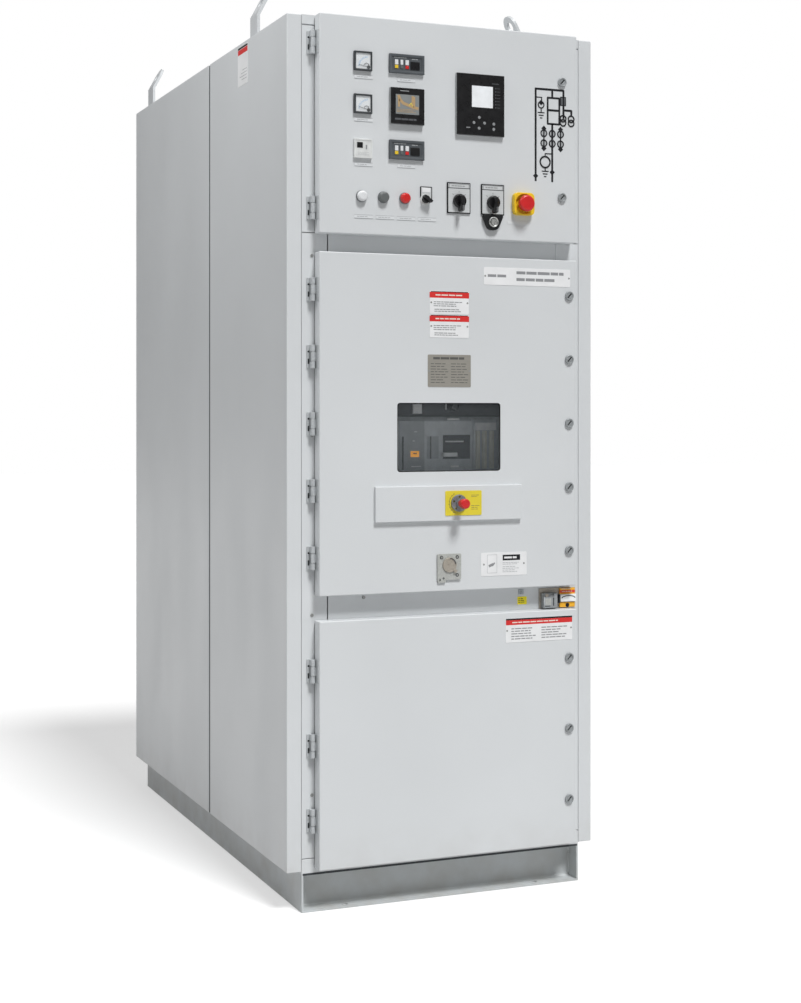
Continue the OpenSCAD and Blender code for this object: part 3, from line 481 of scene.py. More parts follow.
class Recipe:
    """A material under construction, on coordinates in metres."""

    def __init__(self, name: str) -> None:
        """Starts a new material with its shader and its coordinates."""
        self.material = bpy.data.materials.new(name)
        self.material.use_nodes = True
        self.tree = self.material.node_tree
        self.shader = self.tree.nodes["Principled BSDF"]
        self.place = self.add("ShaderNodeTexCoord").outputs["Object"]

    def add(self, kind: str, inputs: dict[str | int, object] | None = None,
            **settings: object) -> bpy.types.Node:
        """Adds a node.

        Args:
            kind: Blender's name for the node.
            inputs: What goes into its sockets: another socket, or a value.
            settings: Its own settings.

        Returns:
            The node.
        """
        node = self.tree.nodes.new(kind)
        for key, value in settings.items():
            setattr(node, key, value)
        for key, value in (inputs or {}).items():
            self.feed(node.inputs[key], value)
        return node

    def feed(self, socket: Socket, value: object) -> None:
        """Links a socket to another one, or sets its value."""
        if isinstance(value, Socket):
            self.tree.links.new(value, socket)
        elif isinstance(value, tuple) and len(value) == 3 and socket.type == "RGBA":
            socket.default_value = (*value, 1.0)
        else:
            socket.default_value = value

    def surface(self, **values: object) -> None:
        """Feeds the shader's sockets, with spaces written as underscores."""
        for key, value in values.items():
            self.feed(self.shader.inputs[key.replace("_", " ")], value)

    def noise(self, scale: float, detail: float = 2.0, stretch: Point = (1.0, 1.0, 1.0)) -> Socket:
        """A cloudy pattern with so many clouds to the metre."""
        place = self.add("ShaderNodeMapping", {"Vector": self.place, "Scale": stretch})
        return self.add("ShaderNodeTexNoise", {
            "Vector": place.outputs["Vector"], "Scale": scale, "Detail": detail}).outputs["Fac"]

    def ramp(self, value: Socket, low: float, high: float, start: float = 0.0,
             end: float = 1.0) -> Socket:
        """Turns the range from low to high of a value into start to end."""
        return self.add("ShaderNodeMapRange", {
            "Value": value, "From Min": low, "From Max": high, "To Min": start,
            "To Max": end}).outputs["Result"]

    def math(self, operation: str, first: object, second: object = 0.0) -> Socket:
        """Works with two numbers."""
        return self.add("ShaderNodeMath", {0: first, 1: second},
                        operation=operation).outputs["Value"]

    def mix(self, share: object, first: object, second: object) -> Socket:
        """Mixes two colours."""
        node = self.add("ShaderNodeMix", data_type="RGBA")
        for key, value in ((0, share), (6, first), (7, second)):
            self.feed(node.inputs[key], value)
        return node.outputs[2]

    def bump(self, height: Socket, depth: float, strength: float = 1.0) -> Socket:
        """Gives the surface a fine relief of so many metres."""
        return self.add("ShaderNodeBump", {
            "Height": height, "Distance": depth, "Strength": strength}).outputs["Normal"]

    def edges(self, radius: float) -> Socket:
        """Near 1 on worn outer edges and 0 on flat faces."""
        rounded = self.add("ShaderNodeBevel", {"Radius": radius}, samples=4)
        flat = self.add("ShaderNodeNewGeometry").outputs["Normal"]
        likeness = self.add("ShaderNodeVectorMath", {
            0: rounded.outputs["Normal"], 1: flat}, operation="DOT_PRODUCT").outputs["Value"]
        return self.ramp(likeness, 0.97, 0.8)

    def axes(self) -> bpy.types.Node:
        """The place split into X, Y and Z."""
        return self.add("ShaderNodeSeparateXYZ", {"Vector": self.place})

    def waves(self, axis: str, count: float) -> Socket:
        """Even waves along an axis, so many to the metre."""
        return self.math("SINE", self.math("MULTIPLY", self.axes().outputs[axis],
                                           count * math.tau))


def srgb(red: int, green: int, blue: int) -> Colour:
    """A colour from its 0 to 255 values on a screen."""
    return tuple(((c / 255 + 0.055) / 1.055) ** 2.4 if c > 10 else c / 255 / 12.92
                 for c in (red, green, blue))


def shade(colour: Colour, factor: float) -> Colour:
    """A lighter or darker tone of a colour."""
    return tuple(min(1.0, c * factor) for c in colour)


@dataclass(frozen=True)
class Finish:
    """What a surface is made of; each kind mixes its own material once.

    Fields:
        name: Name of the material.
        colour: Its main colour.
        roughness: Its mean roughness.
        slot: The record's material slot for it; not used.
    """

    name: str
    colour: Colour
    roughness: float = 0.5
    slot: str = ""

    def mix_into(self, recipe: Recipe) -> None:
        """Builds the shader's inputs."""
        raise NotImplementedError

    @cache
    def material(self) -> bpy.types.Material:
        """The finish as a material, made on first use."""
        recipe = Recipe(self.name)
        self.mix_into(recipe)
        return recipe.material


@dataclass(frozen=True)
class PowderCoat(Finish):
    """Baked powder paint on sheet steel, with a fine orange peel and dust at the foot.

    Fields:
        peel: Depth of the orange peel in metres.
        dust: Share of dust near the floor.
    """

    peel: float = 0.00006
    dust: float = 0.35

    def mix_into(self, recipe: Recipe) -> None:
        """Faint clouds of tone, handling marks in the gloss, and dust low down."""
        tone = recipe.mix(recipe.ramp(recipe.noise(1.7, 3.0), 0.3, 0.7),
                          shade(self.colour, 0.965), shade(self.colour, 1.03))
        specks = recipe.ramp(recipe.noise(420.0, 1.0), 0.66, 0.72, 0.0, 0.25)
        tone = recipe.mix(specks, tone, shade(self.colour, 0.8))
        low = recipe.math("MULTIPLY", recipe.ramp(recipe.axes().outputs["Z"], 0.22, 0.0),
                          recipe.ramp(recipe.noise(14.0, 6.0), 0.3, 0.8))
        tone = recipe.mix(recipe.math("MULTIPLY", low, self.dust), tone, srgb(150, 143, 130))
        marks = recipe.ramp(recipe.noise(5.0, 4.0, (1.0, 1.0, 0.35)), 0.35, 0.75,
                            self.roughness - 0.06, self.roughness + 0.08)
        recipe.surface(Base_Color=tone, Roughness=marks, Coat_Weight=0.1, Coat_Roughness=0.25,
                       Normal=recipe.bump(recipe.noise(650.0, 1.0), self.peel))


@dataclass(frozen=True)
class SpangledZinc(Finish):
    """Galvanised sheet with crystal spangle, a dull sheen and rolling streaks."""

    def mix_into(self, recipe: Recipe) -> None:
        """Crystals of several greys, each with its own gloss."""
        crystals = recipe.add("ShaderNodeTexVoronoi", {"Vector": recipe.place, "Scale": 95.0})
        grain = recipe.add("ShaderNodeSeparateColor",
                           {"Color": crystals.outputs["Color"]}).outputs["Red"]
        tone = recipe.mix(grain, shade(self.colour, 0.88), shade(self.colour, 1.08))
        tone = recipe.mix(recipe.ramp(recipe.noise(12.0, 4.0, (0.3, 0.3, 6.0)), 0.45, 0.8, 0.0,
                                      0.35), tone, shade(self.colour, 0.7))
        recipe.surface(
            Base_Color=tone, Metallic=0.75,
            Roughness=recipe.ramp(grain, 0.0, 1.0, self.roughness - 0.08, self.roughness + 0.1),
            Normal=recipe.bump(recipe.noise(300.0), 0.00005))


@dataclass(frozen=True)
class Skin(Finish):
    """A surface whose tone and gloss follow one pattern, over a fine relief.

    Fields:
        pattern: Clouds of the pattern to the metre.
        stretch: How the pattern is squeezed along each axis.
        contrast: How far the tone goes lighter and darker.
        metallic: How far it reflects as bare metal.
        wear: How bright the edges are rubbed.
        grain: Depth of the relief in metres.
        pores: Grains of the relief to the metre.
        coat: Share of clear lacquer.
        gloss: Strength of the plain reflection; 0.5 is usual.
    """

    pattern: float = 60.0
    stretch: Point = (1.0, 1.0, 1.0)
    contrast: float = 0.09
    metallic: float = 0.0
    wear: float = 0.0
    grain: float = 0.00005
    pores: float = 1500.0
    coat: float = 0.0
    gloss: float = 0.5

    def mix_into(self, recipe: Recipe) -> None:
        """Clouds in the tone and the gloss, rubbed edges and a fine relief."""
        clouds = recipe.noise(self.pattern, 4.0, self.stretch)
        tone = recipe.mix(recipe.ramp(clouds, 0.3, 0.7), shade(self.colour, 1 - self.contrast),
                          shade(self.colour, 1 + self.contrast))
        if self.wear:
            rubbed = recipe.math("MULTIPLY", recipe.edges(0.0006), self.wear)
            tone = recipe.mix(rubbed, tone, shade(self.colour, 1.6))
        recipe.surface(
            Base_Color=tone, Metallic=self.metallic, Specular_IOR_Level=self.gloss,
            Roughness=recipe.ramp(clouds, 0.3, 0.7, self.roughness - 0.06, self.roughness + 0.08),
            Coat_Weight=self.coat, Coat_Roughness=0.15,
            Normal=recipe.bump(recipe.noise(self.pores), self.grain))


@dataclass(frozen=True)
class CastMetal(Skin):
    """Die-cast or turned metal, bright on its rubbed edges."""

    pattern: float = 220.0
    contrast: float = 0.12
    metallic: float = 0.85
    wear: float = 0.5
    pores: float = 900.0


@dataclass(frozen=True)
class Moulding(Skin):
    """Moulded plastic with a spark-eroded grain and lighter rubbed edges."""

    wear: float = 0.25


@dataclass(frozen=True)
class Print(Skin):
    """Printed film or an enamelled plate: even ink that fades in faint clouds."""

    pattern: float = 28.0
    contrast: float = 0.035
    grain: float = 0.00002


@dataclass(frozen=True)
class BrushedPlate(Skin):
    """Anodised or nickel plate with long brush lines along X."""

    pattern: float = 90.0
    stretch: Point = (0.4, 8.0, 14.0)
    metallic: float = 0.3
    grain: float = 0.00002


@dataclass(frozen=True)
class CastResin(Skin):
    """Epoxy resin cast under vacuum: smooth, with flow clouds and a soft gloss."""

    pattern: float = 6.0
    stretch: Point = (1.0, 1.0, 0.3)
    contrast: float = 0.15
    coat: float = 0.25
    pores: float = 80.0
    grain: float = 0.0002


@dataclass(frozen=True)
class ClearGlass(Finish):
    """Glass or acrylic sheet with a faint tint and a few smears.

    Fields:
        clarity: Share of light that passes.
    """

    clarity: float = 0.9

    def mix_into(self, recipe: Recipe) -> None:
        """A clear body with smears in its gloss."""
        smears = recipe.noise(9.0, 5.0, (1.0, 1.0, 0.5))
        recipe.surface(
            Base_Color=recipe.mix(recipe.ramp(smears, 0.4, 0.8, 0.0, 0.3), self.colour,
                                  shade(self.colour, 0.94)),
            Roughness=recipe.ramp(smears, 0.45, 0.8, self.roughness, self.roughness + 0.08),
            IOR=1.2, Alpha=1.0 - self.clarity)


@dataclass(frozen=True)
class Display(Finish):
    """A liquid crystal panel: a pale field with a fine grid of cells.

    Fields:
        cells: Cells to the metre.
        glow: Strength of the light behind it; on the spring flag, which is no lamp, it is painted
            light.
    """

    cells: float = 900.0
    glow: float = 0.0

    def mix_into(self, recipe: Recipe) -> None:
        """Cells in rows and columns over a cloudy backlight."""
        grid = recipe.math("MAXIMUM", *(
            recipe.ramp(recipe.waves(axis, self.cells), 0.75, 1.0, 0.0, 0.16)
            for axis in ("X", "Z")))
        backlight = recipe.mix(recipe.ramp(recipe.noise(40.0, 3.0), 0.3, 0.7),
                               shade(self.colour, 0.93), shade(self.colour, 1.05))
        tone = recipe.mix(grid, backlight, shade(self.colour, 0.6))
        recipe.surface(Base_Color=tone, Roughness=self.roughness, Emission_Color=tone,
                       Emission_Strength=self.glow)


@dataclass(frozen=True)
class LampLens(Finish):
    """A moulded lens with fine prisms that scatter the light behind it."""

    def mix_into(self, recipe: Recipe) -> None:
        """A deep colour with a prism grid in relief."""
        prisms = recipe.math("MULTIPLY", recipe.waves("X", 410.0), recipe.waves("Z", 410.0))
        tone = recipe.mix(recipe.ramp(prisms, -1.0, 1.0), shade(self.colour, 0.8),
                          shade(self.colour, 1.15))
        recipe.surface(Base_Color=tone, Roughness=self.roughness, Coat_Weight=0.2,
                       Coat_Roughness=0.1, Normal=recipe.bump(prisms, 0.0002, 0.6))


CABINET_PAINT = PowderCoat("cabinet_paint", srgb(211, 214, 216), 0.42, "cabinet_paint")
INNER_PAINT = PowderCoat("inner_paint", srgb(206, 210, 212), 0.5, "cabinet_paint", dust=0.1)
BASE_PAINT = PowderCoat("base_paint", srgb(196, 201, 203), 0.5, "base_paint", 0.00012, 0.5)
LUG_PAINT = PowderCoat("lug_paint", srgb(196, 199, 201), 0.45, "lug_paint")
ZINC = SpangledZinc("zinc_sheet", srgb(176, 181, 184), 0.42, "zinc_sheet")
HINGE_CASTING = CastMetal("hinge_casting", srgb(184, 188, 190), 0.42, "zinc_casting", metallic=0.2)
LOCK_CASTING = CastMetal("lock_casting", srgb(150, 154, 156), 0.42, "zinc_casting", metallic=0.3)
TRIP_CASTING = CastMetal("trip_casting", srgb(124, 128, 132), 0.4, "zinc_casting", metallic=0.3)
SCREW_ZINC = CastMetal("screw_zinc", srgb(150, 152, 150), 0.4, "zinc_casting", metallic=0.5)
BRIGHT_STEEL = CastMetal("bright_steel", srgb(196, 197, 195), 0.3, "zinc_casting", wear=0.2)
# Dark steel for the carriage wheels; on recesses, wells and slots it is painted shade.
STEEL_SHADOW = CastMetal("steel_shadow", srgb(52, 54, 56), 0.6, "zinc_casting", metallic=0.1,
                         wear=0.1, gloss=0.2)
COPPER = CastMetal("silvered_copper", srgb(190, 160, 130), 0.3, "zinc_casting", metallic=0.9)
PORT_CASTING = CastMetal("port_casting", srgb(176, 178, 174), 0.45, "zinc_casting", metallic=0.2)
CAP_CASTING = CastMetal("cap_casting", srgb(164, 157, 146), 0.42, "zinc_casting", metallic=0.2)
BREAKER_GREY = Moulding("breaker_grey", srgb(205, 211, 215), 0.5, "breaker_grey")
BREAKER_DARK = Moulding("breaker_dark", srgb(84, 86, 89), 0.55, "breaker_grey", gloss=0.2)
BREAKER_MIDDLE = Moulding("breaker_middle", srgb(172, 178, 182), 0.5, "breaker_grey")
BREAKER_LIGHT = Moulding("breaker_light", srgb(244, 247, 249), 0.45, "breaker_grey")
BREAKER_RIB = Moulding("breaker_rib", srgb(228, 229, 218), 0.5, "breaker_grey")
BLACK_PLASTIC = Moulding("black_plastic", srgb(28, 29, 31), 0.42, "black_plastic", gloss=0.25)
DEEP_BLACK = Moulding("deep_black", srgb(14, 14, 16), 0.3, "black_plastic", wear=0.05)
# Dark rubber of the door seals; the same dark strips also stand as painted shade in the gap under
# the doors and in the end covers' seam.
SEAL_AND_GAP_SHADE = Moulding("seal_rubber", srgb(66, 69, 72), 0.7, "black_plastic", gloss=0.2)
MODULE_GREY = Moulding("module_grey", srgb(74, 79, 83), 0.5, "module_grey")
METER_FRAME = Moulding("meter_frame", srgb(58, 61, 64), 0.5, "black_plastic", gloss=0.3)
SKIRT_GREY = Moulding("skirt_grey", srgb(148, 151, 152), 0.5, "module_grey")
PALE_PLASTIC = Moulding("pale_plastic", srgb(214, 216, 215), 0.4, "label_white", wear=0.05)
LAMP_BEZEL = Moulding("lamp_bezel", srgb(104, 108, 110), 0.4, "lamp_bezel", wear=0.1)
SWITCH_PLATE = BrushedPlate("switch_plate", srgb(204, 207, 208), 0.45, "switch_plate",
                            metallic=0.1)
STOP_YELLOW = Moulding("stop_yellow", srgb(236, 198, 34), 0.4, "safety_yellow", wear=0.05)
STOP_RED = Moulding("stop_red", srgb(204, 32, 34), 0.34, "safety_red", wear=0.05)
TRIP_YELLOW = Print("trip_yellow", srgb(222, 205, 52), 0.4, "trip_yellow")
TAG_ORANGE = Print("tag_orange", srgb(242, 178, 40), 0.45, "safety_yellow")
TAG_YELLOW = Print("tag_yellow", srgb(255, 236, 36), 0.45, "trip_yellow")
RED_PRINT = Print("red_print", srgb(210, 40, 38), 0.42, "safety_red")
BLACK_PRINT = Print("black_print", srgb(30, 31, 34), 0.5, "black_plastic", gloss=0.2)
DARK_PRINT = Print("dark_print", srgb(88, 90, 93), 0.5, "module_grey", gloss=0.3)
STEEL_PRINT = Print("steel_print", srgb(84, 84, 82), 0.5, "module_grey")
GREY_PRINT = Print("grey_print", srgb(140, 142, 144), 0.45, "module_grey")
SOFT_PRINT = Print("soft_print", srgb(172, 175, 177), 0.45, "module_grey")
PALE_PRINT = Print("pale_print", srgb(228, 220, 210), 0.45, "label_white")
LABEL_WHITE = Print("label_white", srgb(232, 233, 234), 0.4, "label_white")
STRIP_FILM = Print("strip_film", srgb(217, 220, 222), 0.4, "label_white")
DIAL_WHITE = Print("dial_white", srgb(226, 229, 231), 0.5, "label_white")
DIAL_BLUE = Print("dial_blue", srgb(150, 190, 225), 0.5, "label_white")
RATING_PLATE = BrushedPlate("rating_plate", srgb(152, 149, 141), 0.45, "switch_plate")
WINDOW_GLASS = ClearGlass("window_glass", srgb(205, 215, 220), 0.03, "window_glass", 0.965)
METER_GLASS = ClearGlass("meter_glass", srgb(235, 240, 242), 0.03, "window_glass", 0.95)
GREY_DISPLAY = Display("grey_display", srgb(134, 138, 138), 0.3, "module_grey")
WHITE_DISPLAY = Display("white_display", srgb(226, 229, 232), 0.3, "label_white", glow=0.15)
# The spring flag is no lamp: its glow is painted light.
FLAG_ORANGE_PAINTED_GLOW = Display("flag_orange_painted_glow", srgb(255, 170, 44), 0.4, "safety_yellow", glow=0.4)
GRAPH_PEACH = Display("graph_peach", srgb(184, 155, 115), 0.3, "trip_yellow")
GRAPH_YELLOW = Display("graph_yellow", srgb(226, 206, 84), 0.3, "trip_yellow")
WHITE_LENS = LampLens("white_lens", srgb(226, 228, 230), 0.25, "label_white")
DARK_LENS = LampLens("dark_lens", srgb(98, 102, 102), 0.3, "module_grey")
YELLOW_LENS = LampLens("yellow_lens", srgb(232, 196, 40), 0.3, "safety_yellow")
RED_LENS = LampLens("red_lens", srgb(206, 26, 24), 0.25, "safety_red")
POLE_RESIN = CastResin("pole_resin", srgb(118, 66, 48), 0.35, "pole_resin")


# ---------- Sub-assemblies ----------


class Body(Enum):
    """The bodies that pieces ride on."""

    CABINET = "root"
    TRUCK = "truck"
    TOP_DOOR = "upper_door_body"
    MIDDLE_DOOR = "middle_door_body"
    BOTTOM_DOOR = "lower_door_body"
    CAM_1 = "cam_1"
    CAM_2 = "cam_2"
    SELECTOR = "selector"
    STOP = "stop"
    TRIP = "trip"
    CAP = "cap"


def corners(node: str) -> tuple[Vector, Vector]:
    """Lowest and highest corner of a node."""
    low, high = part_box(node)
    return Vector(low), Vector(high)


def middle(node: str) -> Vector:
    """Middle of a node's box."""
    low, high = corners(node)
    return (low + high) / 2


def centre_of(node: str) -> Spot:
    """Middle of a node's box, as seen from the front."""
    spot = middle(node)
    return (spot.x, spot.z)


@dataclass
class Assembly:
    """Pieces that ride on one body.

    Fields:
        body: What the pieces ride on.
    """

    body: Body

    def add(self, thing: Piece, finish: Finish, *nodes: str, body: Body | None = None) -> Piece:
        """Dresses a piece and fixes it to its body.

        Args:
            thing: The piece.
            finish: What it is made of.
            nodes: Frame nodes that it stands for.
            body: Another body than the assembly's own.

        Returns:
            The piece.
        """
        carrier = body or self.body
        thing.data.materials.clear()
        thing.data.materials.append(finish.material())
        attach(thing, carrier.value)
        if nodes:
            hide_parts(*nodes)
        LOG.info("%-28s %-18s %s", thing.name, carrier.value, finish.name)
        return thing

    def keep(self, node: str, finish: Finish) -> None:
        """Gives a frame node that keeps its own shape a full finish."""
        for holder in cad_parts[node].material_slots:
            holder.material = finish.material()
        LOG.info("%-28s %-18s %s", node, "kept", finish.name)

    def print_on(self, name: str, lines: Sequence[Stroke], finish: Finish, face: float,
                 thickness: float = 0.0002, body: Body | None = None) -> None:
        """Thin printed strokes on a face that looks to the front."""
        self.add(strokes(name, lines, face, thickness), finish, body=body)


def screws(name: str, spots: Sequence[Point], facing: Facing, radius: float = 0.004,
           height: float = 0.0022) -> Piece:
    """Pan-head screws with a cross recess, modelled once and copied.

    Args:
        name: Name of the joined piece.
        spots: Middle of each head's seat.
        facing: Where the heads look.
        radius: Radius of a head.
        height: Height of a head.

    Returns:
        All the screws as one mesh.
    """
    seat = Vector(spots[0])
    top = seat + facing.vector * height
    head = rod(name, seat, top, radius, sides=16, edge=radius * 0.16)
    axis = [abs(part) for part in facing.vector].index(1.0)
    for way in {0, 1, 2} - {axis}:
        arm = Vector((radius * 0.24,) * 3)
        arm[way], arm[axis] = radius * 1.1, height * 0.9
        cut(head, block("recess", top - arm / 2, top + arm / 2))
    return row(name, soften(head), [Vector(spot) - seat for spot in spots[1:]])


def tray(name: str, low: Vector, high: Vector, mouth: Facing, rim: float, sheet: float,
         bend: float, depth: float | None = None) -> Piece:
    """A box of folded sheet, open on one side.

    Args:
        name: Name of the piece.
        low: Lowest corner.
        high: Highest corner.
        mouth: The open side.
        rim: Width of the rim around the mouth.
        sheet: Thickness of the sheet.
        bend: Radius of the outer edges.
        depth: Depth of the mouth; down to the last sheet if left out.

    Returns:
        The tray.
    """
    low, high, way = Vector(low), Vector(high), mouth.vector
    thing = block(name, low, high)
    sink(thing, mouth, rim, depth or abs((high - low).dot(way)) - sheet)
    centre, half = (low + high) / 2, (high - low) / 2
    reach = max(low.dot(way), high.dot(way))
    with editing(thing, "EDGE") as mesh:
        for edge in mesh.edges:
            ends = [vert.co - centre for vert in edge.verts]
            outer = all(abs(abs(end[k]) - half[k]) < 1e-5 for end in ends for k in range(3))
            at_mouth = all(reach - vert.co.dot(way) < 1e-5 for vert in edge.verts)
            edge.select_set(outer and not at_mouth)
        bpy.ops.mesh.bevel(offset=bend, segments=3, affect="EDGES")
    return soften(thing)


@dataclass
class Base(Assembly):
    """Four welded channels that the cabinet stands on.

    Fields:
        flange: Width of the channels' flanges.
        steel: Thickness of the channels.
        fillet: Radius inside the channels.
        anchor_radius: Radius of the anchor holes.
        anchor_span: Distance between the left and the right anchor holes.
        anchor_inset: Distance of the anchor holes from the front and rear edge.
    """

    flange: float = 0.05
    steel: float = 0.005
    fillet: float = 0.007
    anchor_radius: float = 0.009
    anchor_span: float = 0.55
    anchor_inset: float = 0.022

    def build(self) -> None:
        """Cuts the channels out of one frame, welds their corners and lays a dark strip of painted
        shade under the doors.
        """
        low, high = corners("base_frame")
        ring_in = Vector((self.flange, self.flange, -0.01))
        base = block("base_channels", low, high)
        cut(base, block("inside", low + ring_in, high - ring_in))
        web = self.flange - self.steel
        for y in (low.y, high.y):
            cut(base, round_corners(block(
                "trough", (low.x + self.steel, y - web, low.z + self.steel),
                (high.x - self.steel, y + web, high.z - self.steel)), Facing.RIGHT, self.fillet))
        for x in (low.x + self.flange, high.x - self.flange):
            cut(base, round_corners(block(
                "trough", (x - web, low.y + self.flange, low.z + self.steel),
                (x + web, high.y - self.flange, high.z - self.steel)), Facing.BACK, self.fillet))
        for x in (-self.anchor_span / 2, self.anchor_span / 2):
            for y in (low.y + self.anchor_inset, high.y - self.anchor_inset):
                cut(base, rod("anchor_hole", (x, y, low.z - 0.01), (x, y, low.z + 0.02),
                              self.anchor_radius, sides=48))
        self.add(soften(base, 0.0008), BASE_PAINT, "base_frame")
        # A dark strip along the front top edge stands for the shade under the doors: painted shade.
        self.add(slab("base_seal", (0, high.z - 0.002), (high.x - low.x - 0.006, 0.0055),
                      low.y + 0.003, 0.0036, 0.0005), SEAL_AND_GAP_SHADE)
        self.weld(low, high)

    def weld(self, low: Vector, high: Vector) -> None:
        """Weld beads where the front and rear webs meet the side channels."""
        beads = []
        for x in (low.x + self.steel, high.x - self.steel):
            for y in (low.y + self.flange - self.steel, high.y - self.flange + self.steel):
                bead = rod("bead", (x, y, low.z + 0.012), (x, y, high.z - 0.012), 0.004, sides=10)
                with editing(bead, "EDGE") as mesh:
                    for edge in mesh.edges:
                        edge.select_set(edge.calc_length() > 0.05)
                    bpy.ops.mesh.subdivide(number_cuts=22)
                chance = random.Random(int((x + y) * 100))
                with editing(bead, "VERT") as mesh:
                    for vert in mesh.verts:
                        swell = 1 + 0.22 * math.sin(vert.co.z * 900) + chance.uniform(-0.06, 0.06)
                        vert.co.x = x + (vert.co.x - x) * swell
                        vert.co.y = y + (vert.co.y - y) * swell
                beads.append(soften(bead))
        self.add(joined("base_welds", beads), BASE_PAINT, "base_frame")


@dataclass
class Frame(Assembly):
    """Side walls with their folded posts, the rails and the two transoms.

    Fields:
        sheet: Thickness of the sheets.
        bend: Radius of the folds.
        fold: Depth that the sheets are folded back.
        seam: Width of the seams between pieces.
        bottom_rail: Height of the bottom rail.
        top_rail: Height of the top rail.
        post: Visible width of a post.
        door_lap: How far a transom runs behind the middle door.
    """

    sheet: float = 0.0025
    bend: float = 0.0022
    fold: float = 0.03
    seam: float = 0.002
    bottom_rail: float = 0.037
    top_rail: float = 0.025
    post: float = 0.07
    door_lap: float = 0.013

    def build(self) -> None:
        """Folds the walls, posts, rails and transoms."""
        self.low, self.high = corners("side_frames")
        self.floor = corners("lv_compartment")[0].z
        self.build_walls()
        self.build_rails()
        self.build_transoms()
        for node, finish in (("floor_plate", ZINC), ("breaker_shelf", ZINC), ("bulkhead", ZINC),
                             ("lv_compartment", INNER_PAINT)):
            self.keep(node, finish)
        self.build_low_voltage_gear()

    def build_walls(self) -> None:
        """The left wall and posts, and their likes on the right."""
        low, high, front = self.low, self.high, self.low.y
        wall = folded_sheet(
            "left_wall",
            [(low.x, front + self.sheet), (low.x, high.y), (low.x + self.fold, high.y)],
            (low.z, high.z), Facing.UP, -self.sheet, self.bend)
        profile = [(low.x, front), (low.x + self.post, front),
                   (low.x + self.post, front + self.fold)]
        top = corners("top_door")[1].z
        posts = [folded_sheet(f"left_post_{name}", profile, run, Facing.UP, self.sheet, self.bend)
                 for name, run in (
                     ("lower", (low.z + self.bottom_rail + self.seam, self.floor - self.seam)),
                     ("upper", (self.floor, top - self.top_rail - self.seam)))]
        post_x = low.x + self.post * 0.4
        fixings = screws("left_post_screws", [
            (post_x, front, z) for z in (top - 0.048, *spread(low.z + 0.2, self.floor - 0.06, 4))],
            Facing.FRONT, 0.0045, 0.0018)
        for thing in (wall, *posts):
            self.add(mirrored(thing, thing.name.replace("left", "right")), CABINET_PAINT,
                     "side_frames")
            self.add(thing, CABINET_PAINT, "side_frames")
        self.add(mirrored(fixings, "right_post_screws"), SCREW_ZINC)
        self.add(fixings, SCREW_ZINC)

    def build_rails(self) -> None:
        """The bottom and the top rail, folded back at the inside."""
        low, high = corners("front_rails")
        for name, edge, inner, side in (
                ("bottom_rail", low.z, low.z + self.bottom_rail, -1),
                ("top_rail", high.z, high.z - self.top_rail, 1)):
            path = [(low.y, edge), (low.y, inner), (low.y + self.fold, inner)]
            self.add(folded_sheet(name, path, (low.x, high.x), Facing.RIGHT, side * self.sheet,
                                  self.bend), CABINET_PAINT, "front_rails")

    def build_transoms(self) -> None:
        """Both transoms, folded back along their two edges."""
        low, high = corners("transoms")
        door_low, door_high = corners("middle_door")
        for name, z0, z1 in (("lower_transom", low.z, door_low.z + self.door_lap),
                             ("upper_transom", door_high.z - self.door_lap, high.z)):
            path = [(low.y + self.fold, z0), (low.y, z0), (low.y, z1), (low.y + self.fold, z1)]
            self.add(folded_sheet(name, path, (low.x + 0.0022, high.x - 0.001), Facing.RIGHT,
                                  -self.sheet, self.bend), CABINET_PAINT, "transoms")

    def build_low_voltage_gear(self) -> None:
        """Mounting rails, terminals and wiring ducts at the back of the small compartment."""
        low, high = corners("lv_compartment")
        back = high.y - self.sheet
        rails, ducts = [], []
        for i, z in enumerate(spread(low.z + 0.12, high.z - 0.1, 3)):
            rails.append(sink(slab("rail", (0, z), (0.62, 0.035), back, 0.0075), Facing.FRONT,
                              0.005, 0.003))
            ducts.append(soften(sink(slab("duct", (0, z - 0.075), (0.66, 0.04), back, 0.05),
                                     Facing.FRONT, 0.0015, 0.0015), 0.0006, 1))
            size, depth, count, pitch, name, finish = (
                ((0.006, 0.045), 0.04, 56, 0.0065, "terminal_row", PALE_PLASTIC) if i == 0 else
                ((0.045, 0.085), 0.06, 9, 0.0563, f"relay_row_{i}", MODULE_GREY))
            unit = sink(slab("unit", (-0.26, z), size, back - 0.0075, depth), Facing.FRONT,
                        size[0] * 0.18, -0.006)
            self.add(row(name, soften(unit, size[0] * 0.08, 1),
                         [(k * pitch, 0, 0) for k in range(1, count)]), finish)
        self.add(soften(joined("mounting_rails", rails), 0.0005, 1), SCREW_ZINC)
        self.add(joined("wiring_ducts", ducts), MODULE_GREY)


